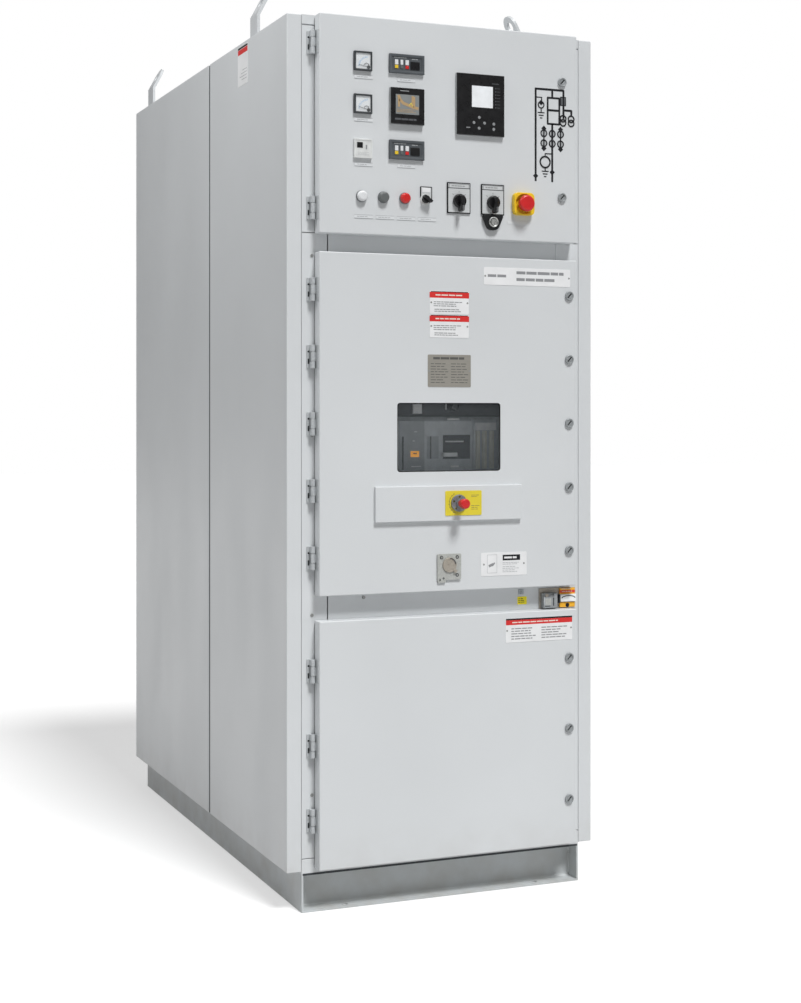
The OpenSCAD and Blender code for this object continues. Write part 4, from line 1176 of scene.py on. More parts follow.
@dataclass
class EndCovers(Assembly):
    """Tray-shaped covers outside the side walls, with slots for the lifting lugs.

    Fields:
        sheet: Thickness of the covers' sheet.
        bend: Radius of their outer edges.
        front_depth: Depth of the front cover.
        gap: Width of the seam between the front and the rear cover, closed by a dark strip of
            painted shade.
        wall_gap: How far the covers stay clear of the side walls.
        lug_insets: Middle of the lugs behind the front and before the rear plane.
        lug_width: Width of a lug.
        slot_depth: Depth of a lug's slot from the wall.
    """

    sheet: float = 0.002
    bend: float = 0.0025
    front_depth: float = 0.7
    gap: float = 0.011
    wall_gap: float = 0.0012
    lug_insets: Spot = (0.378, 0.073)
    lug_width: float = 0.068
    slot_depth: float = 0.01

    def build(self) -> None:
        """Two covers and the dark strip of painted shade in their seam on the left, and the same on
        the right.
        """
        low, high = corners("end_covers")
        wall = corners("side_frames")[0].x - self.wall_gap
        seam = low.y + self.front_depth
        for name, y0, y1, lug in (
                ("front", low.y, seam, low.y + self.lug_insets[0]),
                ("rear", seam + self.gap, high.y, high.y - self.lug_insets[1])):
            cover = tray(f"left_cover_{name}", (low.x, y0, low.z), (wall, y1, high.z),
                         Facing.RIGHT, self.sheet, self.sheet, self.bend)
            cut(cover, block("slot", (wall - self.slot_depth, lug - self.lug_width / 2,
                                      high.z - 0.02),
                             (wall + 0.01, lug + self.lug_width / 2, high.z + 0.01)))
            self.add(mirrored(cover, f"right_cover_{name}"), CABINET_PAINT, "end_covers")
            self.add(soften(cover), CABINET_PAINT, "end_covers")
        # Painted shade: a dark strip nearly flush in the seam between the front and the rear cover.
        strip = block("left_cover_strip", (low.x + 0.0012, seam - 0.001, low.z + 0.003),
                      (wall, seam + self.gap + 0.001, high.z - 0.003))
        self.add(mirrored(strip, "right_cover_strip"), SEAL_AND_GAP_SHADE)
        self.add(strip, SEAL_AND_GAP_SHADE)


@dataclass
class Back(Assembly):
    """The two screwed covers at the back.

    Fields:
        split_gap: Gap between the lower and the upper cover.
        edge: Distance of the screws from a cover's edge.
        panel_rim: Width of the flat border around the pressed panel.
    """

    split_gap: float = 0.002
    edge: float = 0.014
    panel_rim: float = 0.045

    def build(self) -> None:
        """Presses both covers and screws them on."""
        low, high = corners("rear_covers")
        split = (low.z - 0.005 + high.z) / 2
        seat = high.y - 0.0016
        for name, z0, z1 in (("lower", low.z, split - self.split_gap / 2),
                             ("upper", split + self.split_gap / 2, high.z)):
            cover = block(f"rear_cover_{name}", (low.x, low.y, z0), (high.x, high.y, z1))
            sink(cover, Facing.BACK, self.panel_rim, 0.0012)
            self.add(soften(cover, 0.0006), CABINET_PAINT, "rear_covers")
            xs = spread(low.x + self.edge, high.x - self.edge, 5)
            zs = spread(z0 + self.edge, z1 - self.edge, 6)
            rim = [(x, seat, z) for x in xs for z in (zs[0], zs[-1])]
            rim += [(x, seat, z) for x in (xs[0], xs[-1]) for z in zs[1:-1]]
            self.add(screws(f"rear_screws_{name}", rim, Facing.BACK, 0.005, 0.0016), SCREW_ZINC)


@dataclass
class Roof(Assembly):
    """The roof sheet with its pressure-relief flaps and the lifting lugs.

    Fields:
        lap: How far a flap laps over its opening's edge.
        space: Distance between two flaps.
        rise: Height of a lug's upright leg above the roof.
        reach: Length of the leaning leg up to the eye.
        lean: Lean of the upper leg in degrees.
        thickness: Thickness of a lug.
        eye: Radius of a lug's eye.
    """

    lap: float = 0.02
    space: float = 0.04
    rise: float = 0.075
    reach: float = 0.046
    lean: float = 28.0
    thickness: float = 0.008
    eye: float = 0.015

    def build(self) -> None:
        """Roof, flaps and lugs."""
        low, high = corners("roof")
        sheet = block("roof_sheet", low, high)
        flap_low, flap_high = corners("relief_flaps")
        pitch = (flap_high.y - flap_low.y + self.space) / 3
        heads = []
        for i in range(3):
            y0 = flap_low.y + i * pitch
            y1 = y0 + pitch - self.space
            hole = Vector((flap_low.x + self.lap, y0 + self.lap, low.z - 0.01))
            cut(sheet, block("opening", hole, (-hole.x, y1 - self.lap, high.z + 0.01)))
            flap = block(f"relief_flap_{i + 1}", (flap_low.x, y0, flap_low.z),
                         (flap_high.x, y1, flap_high.z - 0.0002))
            self.add(soften(sink(flap, Facing.UP, 0.045, 0.0008), 0.0004), CABINET_PAINT,
                     "relief_flaps")
            heads += [(x, y, flap_high.z - 0.0008) for y in (y0 + 0.01, y1 - 0.01)
                      for x in spread(flap_low.x + 0.012, flap_high.x - 0.012, 6)]
        self.add(soften(sheet, 0.0008), CABINET_PAINT, "roof")
        self.add(screws("flap_screws", heads, Facing.UP, 0.0045, 0.0008), SCREW_ZINC)
        self.build_lugs()

    def build_lugs(self) -> None:
        """One lug, copied along the wall and mirrored to the other side."""
        low, high = corners("lifting_lugs")
        roof, wall = corners("roof")[1].z, corners("side_frames")[0].x
        half = self.thickness * 4
        lug = block("lug", low, (wall, low.y + 2 * half, roof + self.rise))
        fold = Vector((low.x, low.y + half, roof + self.rise))
        eye = fold + Vector((0, 0, self.reach))
        through = Vector((self.thickness, 0, 0))
        arm = united(block("arm", fold - Vector((0, half, 0)), eye + through + Vector((0, half, 0))),
                     rod("end", eye, eye + through, half, sides=64))
        cut(arm, rod("hole", eye - through, eye + 2 * through, self.eye, sides=48))
        united(lug, turned(arm, fold, Facing.BACK, self.lean))
        soften(lug, 0.0012, 3, 50)
        left = row("lifting_lugs_left", lug, [(0, high.y - low.y - 2 * half, 0)])
        self.add(mirrored(left, "lifting_lugs_right"), LUG_PAINT, "lifting_lugs")
        self.add(left, LUG_PAINT, "lifting_lugs")


@dataclass
class Door(Assembly):
    """A folded door leaf with its hinges, quarter-turn locks and labels.

    Fields:
        name: Name of the door's node.
        hinges: Heights of the hinges above the door's lower edge.
        locks: Heights of the locks above the door's lower edge.
        lock_inset: Distance of the locks from the door's edge.
        sheet: Thickness of the door sheet.
        lip: Width of the lip around the back.
        bend: Radius of the door's outer edges.
        pin: How far a hinge's pin lies left of the door, and behind its front.
    """

    name: str
    hinges: Sequence[float]
    locks: Sequence[float]
    lock_inset: float = 0.0235
    sheet: float = 0.0025
    lip: float = 0.018
    bend: float = 0.0028
    pin: Spot = (0.009, 0.024)

    def __post_init__(self) -> None:
        """Reads the door's box."""
        self.low, self.high = corners(self.name)
        self.face = self.low.y
        self.holes: list[Piece] = []

    def spot(self, x: float, z: float) -> Spot:
        """A place from the cabinet's middle plane and the door's lower edge."""
        return (x, self.low.z + z)

    def open_square(self, spot: Spot, size: Spot, corner: float = 0.0) -> None:
        """Marks a square hole in the front sheet."""
        self.holes.append(slab("hole", spot, size, self.face + 0.006, 0.01, corner=corner))

    def open_round(self, spot: Spot, radius: float) -> None:
        """Marks a round hole in the front sheet."""
        self.holes.append(button("bore", spot, radius, self.face + 0.006, 0.01, sides=48))

    def finish_door(self) -> None:
        """Leaf, seal, hinges and locks."""
        self.build_leaf()
        self.build_seal()
        self.build_hinges()
        self.build_locks()

    def build_leaf(self) -> None:
        """Folds the leaf: the mouth, the room behind the lip, then the holes."""
        low, high, sheet = self.low, self.high, self.sheet
        leaf = tray(f"{self.name}_leaf", low, high, Facing.BACK, self.lip, sheet, self.bend, sheet)
        centre = (low + high) / 2
        growth = [(side - 2 * sheet) / (side - 2 * self.lip) for side in high - low]
        with editing(leaf) as mesh:
            for face in mesh.faces:
                spot = face.calc_center_median() - centre
                face.select_set(abs(spot.x) < 0.01 and abs(spot.z) < 0.01 and spot.y > 0)
            bpy.ops.mesh.extrude_region_move(TRANSFORM_OT_translate={"value": (0, 0, 0)})
            bpy.ops.transform.resize(value=(growth[0], 1, growth[2]), center_override=centre)
            bpy.ops.mesh.extrude_region_move(
                TRANSFORM_OT_translate={"value": (0, -(high.y - low.y - 2 * sheet), 0)})
        for z in self.locks:
            self.open_round((high.x - self.lock_inset, low.z + z), 0.0105)
        self.add(soften(cut(leaf, *self.holes)), CABINET_PAINT, self.name)

    def build_seal(self) -> None:
        """The rubber seal around the back of the leaf; it stands out a little at the door's side,
        where its dark colour paints the shade of the gap beside the post.
        """
        low, high = self.low, self.high
        margin = Vector((0.012, 0, 0.012))
        back = corners("side_frames")[0].y - 0.0003
        ring_low = Vector((low.x - 0.0003, high.y, low.z + 0.008))
        ring_high = Vector((high.x - 0.01, back, high.z - 0.008))
        through = Vector((0, 0.01, 0))
        # Painted shade: the seal's dark edge shows in the gap beside the post.
        seal = block(f"{self.name}_seal", ring_low, ring_high)
        cut(seal, block("inside", ring_low + margin - through, ring_high - margin + through))
        self.add(soften(seal, 0.0004, 1), SEAL_AND_GAP_SHADE)

    def build_hinges(self) -> None:
        """One hinge, copied to each height: the post's half, the door's half and painted shade on
        its screw recesses.
        """
        pin = Vector((self.low.x - self.pin[0], self.low.y + self.pin[1], 0))
        shifts = [(0, 0, z - self.hinges[0]) for z in self.hinges[1:]]
        fixed, moving, recesses = self.hinge(pin, self.low.z + self.hinges[0])
        for name, first, finish, body, nodes in (
                ("post_hinges", fixed, HINGE_CASTING, Body.CABINET, ("frame_hinges",)),
                ("hinge_recesses", recesses, STEEL_SHADOW, Body.CABINET, ()),
                ("door_hinges", moving, HINGE_CASTING, self.body, (f"{self.name}_fittings",))):
            self.add(row(f"{self.name}_{name}", first, shifts), finish, *nodes, body=body)

    def hinge(self, pin: Vector, z: float, height: float = 0.06, knuckle: float = 0.024,
              radius: float = 0.0063) -> list[Piece]:
        """Both halves of a hinge and dark discs on its leaf that paint the shade of its screw
        recesses.

        Args:
            pin: Place of the pin, as seen from above.
            z: Height of the hinge's middle.
            height: Height of the hinge.
            knuckle: Height of the middle knuckle.
            radius: Radius of the barrel.

        Returns:
            The post's half, the door's half and the painted recess shade.
        """
        post = self.low.y + 0.038
        near = knuckle / 2 + 0.001
        fixed = [block("leaf", (pin.x - 0.0125, post - 0.004, z - height / 2),
                       (pin.x - 0.001, post, z + height / 2), 0.0012),
                 rod("pin", (pin.x, pin.y, z - height / 2 + 0.001),
                     (pin.x, pin.y, z + height / 2 - 0.001), 0.0025, sides=20)]
        for side in (-1, 1):
            start, end = z + side * near, z + side * height / 2
            fixed.append(rod("barrel", (pin.x, pin.y, start), (pin.x, pin.y, end), radius,
                             sides=28, edge=0.0008))
            fixed.append(block("web", (pin.x - radius, pin.y, min(start, end) + 0.0004),
                               (pin.x - 0.001, post - 0.0005, max(start, end) - 0.0004)))
        # Dark discs on the leaf: painted shade of two screw recesses.
        recesses = [button("recess", (pin.x - 0.0088, z + 0.013), 0.0026, post - 0.0032, 0.0011,
                           sides=20),
                    slab("recess", (pin.x - 0.0088, z - 0.012), (0.0042, 0.014), post - 0.0032,
                         0.0011, corner=0.0015)]
        moving = [rod("knuckle", (pin.x, pin.y, z - knuckle / 2), (pin.x, pin.y, z + knuckle / 2),
                      radius, sides=28, edge=0.001),
                  block("arm", (pin.x, pin.y - 0.005, z - knuckle / 2 + 0.001),
                        (self.low.x - 0.001, pin.y + 0.005, z + knuckle / 2 - 0.001)),
                  block("flap", (self.low.x - 0.0022, self.low.y + 0.004, z - height / 2),
                        (self.low.x, self.high.y - 0.002, z + height / 2), 0.0006, 1)]
        return [joined("post_half", fixed), joined("door_half", moving),
                joined("recesses", recesses)]

    def build_locks(self) -> None:
        """One quarter-turn lock, copied to each height, with painted shade in its key slot."""
        x, face = self.high.x - self.lock_inset, self.face
        first = (x, self.low.z + self.locks[0])
        head = button("head", first, 0.0124, face, 0.006, sides=40, edge=0.0014, steps=3)
        sink(head, Facing.FRONT, 0.0022, 0.0012)
        key = slab("key", first, (0.0042, 0.017), face - 0.0022, 0.01)
        soften(cut(head, turned(key, (x, face, first[1]), Facing.BACK, 42)))
        # A dark disc that shows at the bottom of the key slot: painted shade.
        well = button("well", first, 0.0095, face - 0.0012, 0.0014)
        rear = joined("rear", [
            button("shank", first, 0.01, face + 0.024, 0.024, sides=24, edge=0.0008),
            block("tongue", (x - 0.007, face + 0.024, first[1] - 0.034),
                  (x + 0.007, face + 0.027, first[1] + 0.009), 0.0008),
            button("nut", first, 0.012, face + 0.0065, 0.004, sides=6, edge=0.0008)])
        shifts = [(0, 0, z - self.locks[0]) for z in self.locks[1:]]
        for name, part, finish in (("locks", head, LOCK_CASTING),
                                   ("lock_wells", well, STEEL_SHADOW),
                                   ("lock_tongues", rear, SCREW_ZINC)):
            self.add(row(f"{self.name}_{name}", part, shifts), finish, f"{self.name}_fittings")

    def label(self, name: str, spot: Spot, size: Spot, node: str,
              prints: Sequence[tuple[str, Finish, Sequence[Stroke]]],
              finish: Finish | None = None, rivet: Spot | None = (0.004, 0.0)) -> None:
        """A thin plate with rounded corners, its print and two rivets.

        Args:
            name: Name of the plate.
            spot: Its middle.
            size: Width and height.
            node: The node that it stands for.
            prints: Name, finish and strokes of each print, the lowest first.
            finish: What the plate is made of.
            rivet: How far the rivets lie from the left and right edge, and above the middle.
        """
        depth = 0.0007
        self.add(slab(name, spot, size, self.face, depth, 0.0002, 1, 0.003),
                 finish or LABEL_WHITE, node)
        for i, (part, ink, lines) in enumerate(prints):
            self.print_on(f"{name}_{part}", lines, ink, self.face - depth - 0.00004 * i, 0.00008)
        if rivet:
            first = button("rivet", (spot[0] - size[0] / 2 + rivet[0], spot[1] + rivet[1]), 0.0026,
                           self.face - depth, 0.00028, sides=16)
            self.add(row(f"{name}_rivets", first, [(size[0] - 2 * rivet[0], 0, 0)]), SCREW_ZINC)

    def notice(self, name: str, spot: Spot, size: Spot, node: str, seed: int) -> None:
        """A label with a red head over rows of small print."""
        (x, z), (width, height) = spot, size
        edge, band = z + height * 0.47, z + height * 0.33
        left, right = x - width / 2, x + width / 2
        self.label(name, spot, size, node, [
            ("edge", BLACK_PRINT, [((left + 0.003, edge), (right - 0.003, edge), height * 0.035)]),
            ("head", RED_PRINT, [((left + 0.003, band), (right - 0.003, band), height * 0.25)]),
            ("title", PALE_PRINT, dashes((x, band), (width * 0.7, 0.008), 1, seed + 9, 0.4)),
            ("print", GREY_PRINT, [
                *dashes((x - width * 0.03, z - height * 0.06), (width * 0.74, height * 0.26), 3,
                        seed, 0.4),
                *dashes((x - width * 0.03, z - height * 0.34), (width * 0.7, height * 0.17), 2,
                        seed + 5, 0.4)])])


@dataclass
class TopDoor(Door):
    """The door of the low-voltage compartment, with its instruments, switches and lamps.

    Fields:
        meters: Heights of the two dial meters and the controller above the door's lower edge.
        modules: Heights of the alarm modules.
        lamp_radius: Radius of a lamp's bezel.
        switch_bore: Radius of the holes for the lamps and the selector.
        stop_bore: Radius of the emergency stop's well for its shaft.
    """

    meters: Sequence[float] = (0.445, 0.335, 0.22)
    modules: Sequence[float] = (0.446, 0.223)
    lamp_radius: float = 0.0155
    switch_bore: float = 0.0115
    stop_bore: float = 0.0094

    def build(self) -> None:
        """Instruments first, because their holes go into the leaf."""
        self.build_meters()
        self.build_alarm_modules()
        self.build_power_meter()
        self.build_relay()
        self.build_lamps()
        self.build_selector()
        self.build_cam_switches()
        self.build_stop()
        self.build_strips()
        self.build_mimic()
        self.finish_door()

    def housing(self, name: str, spot: Spot, size: Spot, node: str, finish: Finish, bezel: float,
                depth: float, rim: float, well: float) -> None:
        """A bezel with a well in its front, and the body behind the door.

        Args:
            name: Name of the piece.
            spot: Its middle.
            size: Width and height of the bezel.
            node: The node that it stands for.
            finish: What it is made of.
            bezel: How far the bezel stands out.
            depth: How far the body reaches behind the door.
            rim: Width of the bezel's rim.
            well: Depth of the well in the bezel.
        """
        front = soften(sink(slab(name, spot, size, self.face, bezel, 0.0012), Facing.FRONT, rim,
                            well))
        inner = (size[0] - 0.006, size[1] - 0.006)
        body = slab("body", spot, inner, self.face + depth, depth, 0.001, 1)
        cut(body, *[slab("vent", (spot[0], spot[1] + side * inner[1] * 0.3),
                         (inner[0] * 0.8, 0.004), self.face + depth + 0.001, 0.003)
                    for side in (-1, 0, 1)])
        self.open_square(spot, (inner[0] + 0.001, inner[1] + 0.001))
        self.add(joined(name, [front, soften(body)]), finish, node)

    def plate(self, name: str, spot: Spot, size: Spot, back: float, depth: float,
              finish: Finish) -> None:
        """A small flat part with broken edges: a screen, a lens, a pane."""
        self.add(slab(name, spot, size, back, depth, min(depth * 0.4, 0.0006), 1), finish)

    def build_meters(self) -> None:
        """Two dial meters and the small pale controller below them."""
        x = middle("meters").x
        size = (0.05, 0.05)
        back = self.face - 0.0045
        for i, height in enumerate(self.meters[:2]):
            name, spot = f"dial_meter_{i + 1}", self.spot(x, height)
            self.housing(name, spot, size, "meters", METER_FRAME, 0.008, 0.06, 0.0034, 0.0035)
            self.plate(f"{name}_dial", spot, (0.0431, 0.0431), back, 0.0005, DIAL_WHITE)
            pivot = at(spot, 0.0145, -0.0145)
            scale, short, long = (arc(pivot, radius, 94, 4.6, 19)
                                  for radius in (0.0245, 0.0275, 0.029))
            ticks = [(scale[k], (short if k % 3 else long)[k], 0.0006) for k in range(19)]
            self.print_on(f"{name}_scale", ticks + chain(scale, 0.0004), DIAL_BLUE, back - 0.0005)
            bow = [at(pivot, right, up) for right, up in (
                (-0.012, 0.0055), (-0.007, 0.0095), (-0.001, 0.0085), (0.002, 0.003))]
            needle = [(pivot, at(pivot, -0.026, 0.0045 + 0.002 * i), 0.0009)]
            self.print_on(f"{name}_hand", needle + chain(bow, 0.0011), BLACK_PRINT, back - 0.0015,
                          0.0004)
            self.add(button(f"{name}_hub", at(pivot, 0.0005, -0.0005), 0.0048, back - 0.0005,
                            0.002, 0.0042, 24, 0.0005), DEEP_BLACK)
            self.plate(f"{name}_pane", spot, (0.0428, 0.0428), self.face - 0.0072, 0.0006,
                       METER_GLASS)
        spot, front = self.spot(x, self.meters[2]), self.face - 0.0072
        self.housing("controller", spot, size, "meters", PALE_PLASTIC, 0.008, 0.06, 0.003, 0.0008)
        self.plate("controller_screen", at(spot, -0.0095, 0.0085), (0.016, 0.0145), front, 0.0006,
                   DEEP_BLACK)
        self.plate("controller_key", at(spot, 0.0085, 0.004), (0.0035, 0.011), front, 0.0006,
                   GREY_PRINT)
        self.print_on("controller_marks",
                      dashes(at(spot, 0.001, -0.013), (0.032, 0.009), 3, 4, 0.2), SOFT_PRINT, front)

    def build_alarm_modules(self) -> None:
        """Two small modules with signal lights in two rows and a black counter."""
        x, back = middle("alarm_modules").x, self.face - 0.006
        for i, height in enumerate(self.modules):
            name, spot = f"alarm_module_{i + 1}", self.spot(x, height)
            self.housing(name, spot, (0.098, 0.05), "alarm_modules", MODULE_GREY, 0.008, 0.06,
                         0.0055, 0.002)
            counter = slab(f"{name}_counter", at(spot, 0.0225, -0.0035), (0.026, 0.021), back,
                           0.0014, 0.0005)
            self.add(soften(sink(counter, Facing.FRONT, 0.002, 0.0005)), DEEP_BLACK)
            for column, below in enumerate((YELLOW_LENS, DARK_LENS, RED_LENS)):
                width = 0.0095 - 0.002 * (column == 1)
                for k, (finish, z, tall) in enumerate(((WHITE_LENS, 0.0035, 0.013),
                                                       (below, -0.0085, 0.0085))):
                    self.plate(f"{name}_lens_{column}_{k}", at(spot, column * 0.0148 - 0.0295, z),
                               (width, tall), back, 0.0016, finish)
            self.print_on(f"{name}_marks", [
                *dashes(at(spot, 0.024, 0.0135), (0.02, 0.004), 1, 5 + i, 0.4),
                *dashes(at(spot, -0.016, 0.0155), (0.04, 0.003), 1, 9 + i, 0.4)],
                SOFT_PRINT, back)

    def build_power_meter(self) -> None:
        """The square power meter with a graph on its display."""
        spot, front = centre_of("power_meter"), self.face - 0.0114
        self.housing("power_meter", spot, (0.094, 0.094), "power_meter", DEEP_BLACK, 0.012, 0.09,
                     0.0015, 0.0006)
        self.add(slab("power_meter_skirt", spot, (0.0944, 0.0944), self.face, 0.0088, 0.0004),
                 SKIRT_GREY)
        screen = at(spot, -0.001, 0.004)
        self.plate("power_meter_screen", screen, (0.0655, 0.051), front + 0.0002, 0.0006,
                   GREY_DISPLAY)
        corner = at(screen, -0.033, -0.0255)
        curve = [at(corner, right, up) for right, up in (
            (0.008, 0.047), (0.012, 0.037), (0.022, 0.028), (0.035, 0.024), (0.048, 0.0195),
            (0.062, 0.017))]
        columns = [(right, 0.02, right, up, 0.006)
                   for right, up in ((0.009, 0.045), (0.0475, 0.047), (0.0515, 0.045))]
        self.print_on("power_meter_graph", [
            *chain(curve, 0.0075), *drawn(corner, columns),
            *dashes(at(corner, 0.03, 0.009), (0.054, 0.01), 3, 21, 0.35)], GRAPH_PEACH,
            front - 0.0004)
        peak = [at(corner, right, up)
                for right, up in ((0.038, 0.024), (0.043, 0.03), (0.047, 0.022))]
        self.print_on("power_meter_peak", chain(peak, 0.0022), GRAPH_YELLOW, front - 0.0007)
        self.print_on("power_meter_title", drawn(spot, [(-0.021, 0.039, 0.003, 0.039, 0.0016)]),
                      SOFT_PRINT, front)
        self.print_on("power_meter_keys", dashes(at(spot, 0, -0.0345), (0.07, 0.0075), 1, 33, 0.62),
                      DARK_PRINT, front)

    def build_relay(self) -> None:
        """The protection relay: a black front with a white display, keys and a row of lights."""
        spot, front = centre_of("protection_relay"), self.face - 0.0094
        self.housing("protection_relay", spot, (0.138, 0.162), "protection_relay", DEEP_BLACK,
                     0.01, 0.09, 0.0025, 0.0006)
        self.add(slab("relay_skirt", spot, (0.1384, 0.1624), self.face, 0.0072, 0.0004),
                 SKIRT_GREY)
        self.plate("relay_screen", at(spot, 0.0045, 0.0215), (0.061, 0.0565), front + 0.0002,
                   0.0006, WHITE_DISPLAY)
        keys = [button("key", at(spot, right, up), 0.0042, front, 0.0007, 0.0036, 20, 0.0002)
                for right, up in ((-0.0045, -0.0335), (-0.02, -0.0477), (0.0108, -0.0475),
                               (-0.005, -0.062), (0.038, -0.0485), (0.038, -0.0622))]
        keys.append(slab("key", at(spot, -0.0367, -0.0615), (0.011, 0.0028), front, 0.0006, 0.0003))
        self.add(joined("relay_keys", keys), GREY_PRINT)
        top, pitch = 0.046, 0.0085
        light = button("light", at(spot, 0.0435, top), 0.0017, front, 0.0005, sides=14)
        self.add(row("relay_lights", light, [(0, 0, -pitch * i) for i in range(1, 7)]), DARK_PRINT)
        marks = [(0.048, top - i * pitch, 0.056, top - i * pitch, 0.0012) for i in range(7)]
        self.print_on("relay_marks", drawn(spot, [*marks, (0.033, 0.058, 0.052, 0.058, 0.0016)]),
                      DARK_PRINT, front)

    def build_lamps(self) -> None:
        """Three signal lamps: a light bezel ring and a domed lens each."""
        low, high = corners("lamps")
        z, radius = (low.z + high.z) / 2, self.lamp_radius
        for x, finish, name in zip(spread(low.x + radius + 0.0015, high.x - radius + 0.0015, 3),
                                   (WHITE_LENS, DARK_LENS, RED_LENS), ("white", "dark", "red")):
            bezel = joined(f"lamp_bezel_{name}", [
                button("bezel", (x, z), radius, self.face, 0.0045, 0.015, 40, 0.001, 3),
                button("barrel", (x, z), 0.011, self.face + 0.05, 0.05, sides=28, edge=0.001),
                button("nut", (x, z), 0.0145, self.face + 0.009, 0.006, sides=6, edge=0.0008)])
            self.add(bezel, LAMP_BEZEL, "lamps")
            back = self.face - 0.004
            lens = button(f"lamp_lens_{name}", (x, z), 0.0138, back, back - low.y, sides=40)
            self.add(dome(lens, Facing.FRONT, 0.0065), finish, "lamps")
            self.open_round((x, z), self.switch_bore)

    def build_selector(self) -> None:
        """The small two-position selector in its framed name holder."""
        (x, z), face = centre_of("selector_switch"), self.face
        self.add(slab("selector_holder", (x + 0.002, z + 0.0165), (0.034, 0.034), face, 0.002,
                      0.0004, 1, 0.002), BLACK_PLASTIC, "switch_plates")
        self.add(slab("selector_frame", (x + 0.002, z + 0.0145), (0.0285, 0.033), face - 0.0018,
                      0.0006, 0.0002, 1, 0.001), SWITCH_PLATE, "switch_plates")
        self.add(joined("selector_collar", [
            button("collar", (x, z), 0.0155, face, 0.0031, 0.0148, 40, 0.0005),
            button("barrel", (x, z), 0.011, face + 0.05, 0.0512, sides=28, edge=0.001)]),
            PALE_PLASTIC, "switch_plates")
        self.plate("selector_name", (x + 0.002, z + 0.0245), (0.0225, 0.0115), face - 0.0023,
                   0.0004, LABEL_WHITE)
        seat = face - 0.0031
        blade = slab("blade", (x + 0.0012, z - 0.001), (0.0072, 0.027), seat - 0.002, 0.0165,
                     0.0016, 3)
        turned(blade, (x, face, z), Facing.BACK, -56)
        self.add(joined("selector_knob", [
            button("cap", (x, z), 0.0108, seat, 0.009, 0.0098, 40, 0.0012, 3), blade]),
            DEEP_BLACK, "selector_switch", body=Body.SELECTOR)
        self.open_round((x, z), self.switch_bore)

    def build_cam_switches(self) -> None:
        """Two cam switches with printed plates; a key lock hangs from the second."""
        for number, body in ((1, Body.CAM_1), (2, Body.CAM_2)):
            low, high = corners(f"cam_switch_{number}")
            x, z = (low.x + high.x) / 2, high.z - 0.019
            mid, face = z + 0.008, self.face
            decks = [slab("deck", (x, z), (0.044, 0.044), face + 0.026 + k * 0.018, 0.016, 0.001,
                          1) for k in range(3)]
            self.add(joined(f"cam_body_{number}", [
                slab("base", (x, mid), (0.067, 0.081), face, 0.0042, 0.0006, 2, 0.0015),
                button("barrel", (x, z), 0.014, face + 0.08, 0.08, sides=28, edge=0.001), *decks]),
                BLACK_PLASTIC, "switch_plates")
            self.add(slab(f"cam_film_{number}", (x, mid), (0.0616, 0.0756),
                          face - 0.0041, 0.0006, 0.0001, 1, 0.001), SWITCH_PLATE)
            bar, film = mid + 0.0255, face - 0.0047
            self.print_on(f"cam_outline_{number}", [
                *outline((x, bar + 0.0058), (0.0575, 0.0105), 0.0011),
                ((x - 0.0306, bar), (x + 0.0306, bar), 0.0022)], DARK_PRINT, film)
            self.print_on(f"cam_print_{number}", [
                *dashes((x, bar + 0.006), (0.042, 0.005), 1, 40 + number, 0.4),
                *[((x + 0.026 * math.sin(a), z + 0.026 * math.cos(a)),
                   (x + 0.0225 * math.sin(a), z + 0.0225 * math.cos(a)), 0.0014)
                  for a in (-0.8, 0.0, 0.8)]], GREY_PRINT, film)
            self.build_cam_handle(number, body, x, z)
            self.open_round((x, z), 0.0145)
        self.build_key_lock(x - 0.0015, mid - 0.0405)

    def build_cam_handle(self, number: int, body: Body, x: float, z: float) -> None:
        """A round grip with a raised lever that points down."""
        face = self.face - 0.006
        lever = slab("lever", (x, z - 0.0075), (0.012, 0.043), face - 0.004, 0.021)
        with editing(lever) as mesh:
            pick_outer(mesh, Facing.FRONT)
            bpy.ops.transform.resize(value=(0.74, 1, 0.94),
                                     center_override=(x, face - 0.025, z - 0.009))
        self.add(joined(f"cam_handle_{number}", [
            button("grip", (x, z), 0.019, face, 0.0095, 0.0172, 48, 0.002, 3),
            soften(lever, 0.0022, 3)]), DEEP_BLACK, f"cam_switch_{number}", body=body)
        self.print_on(f"cam_pointer_{number}", [((x, z - 0.026), (x, z - 0.014), 0.0016)],
                      GREY_PRINT, face - 0.0249, body=body)

    def build_key_lock(self, x: float, top: float) -> None:
        """The tapered holder below the second cam switch, with a slotted cylinder."""
        foot = corners("switch_plates")[0].z + 0.001
        spot, front = (x, (top + foot) / 2 + 0.001), self.face - 0.012
        holder = slab("key_holder", (x, (top + foot) / 2), (0.063, top - foot), self.face, 0.012)
        with editing(holder) as mesh:
            pick_outer(mesh, Facing.DOWN)
            bpy.ops.transform.resize(value=(0.42, 1, 1), center_override=(x, self.face, foot))
        round_corners(holder, Facing.BACK, 0.009, 5)
        self.add(soften(holder, 0.0015, 3), BLACK_PLASTIC, "switch_plates")
        rim = button("rim", spot, 0.0142, front, 0.003, 0.0136, 40, 0.0008, 3)
        plug = button("plug", spot, 0.0086, front - 0.0006, 0.0034, edge=0.0008)
        cut(plug, slab("key_slot", spot, (0.0026, 0.0115), front - 0.002, 0.006))
        self.add(joined("key_cylinder", [soften(sink(rim, Facing.FRONT, 0.0026, 0.0022)),
                                         soften(plug)]), BRIGHT_STEEL, "switch_plates")
        # A dark ring between the plug and the rim: painted shade.
        self.add(button("key_well", spot, 0.0105, front - 0.0006, 0.0012), STEEL_SHADOW)

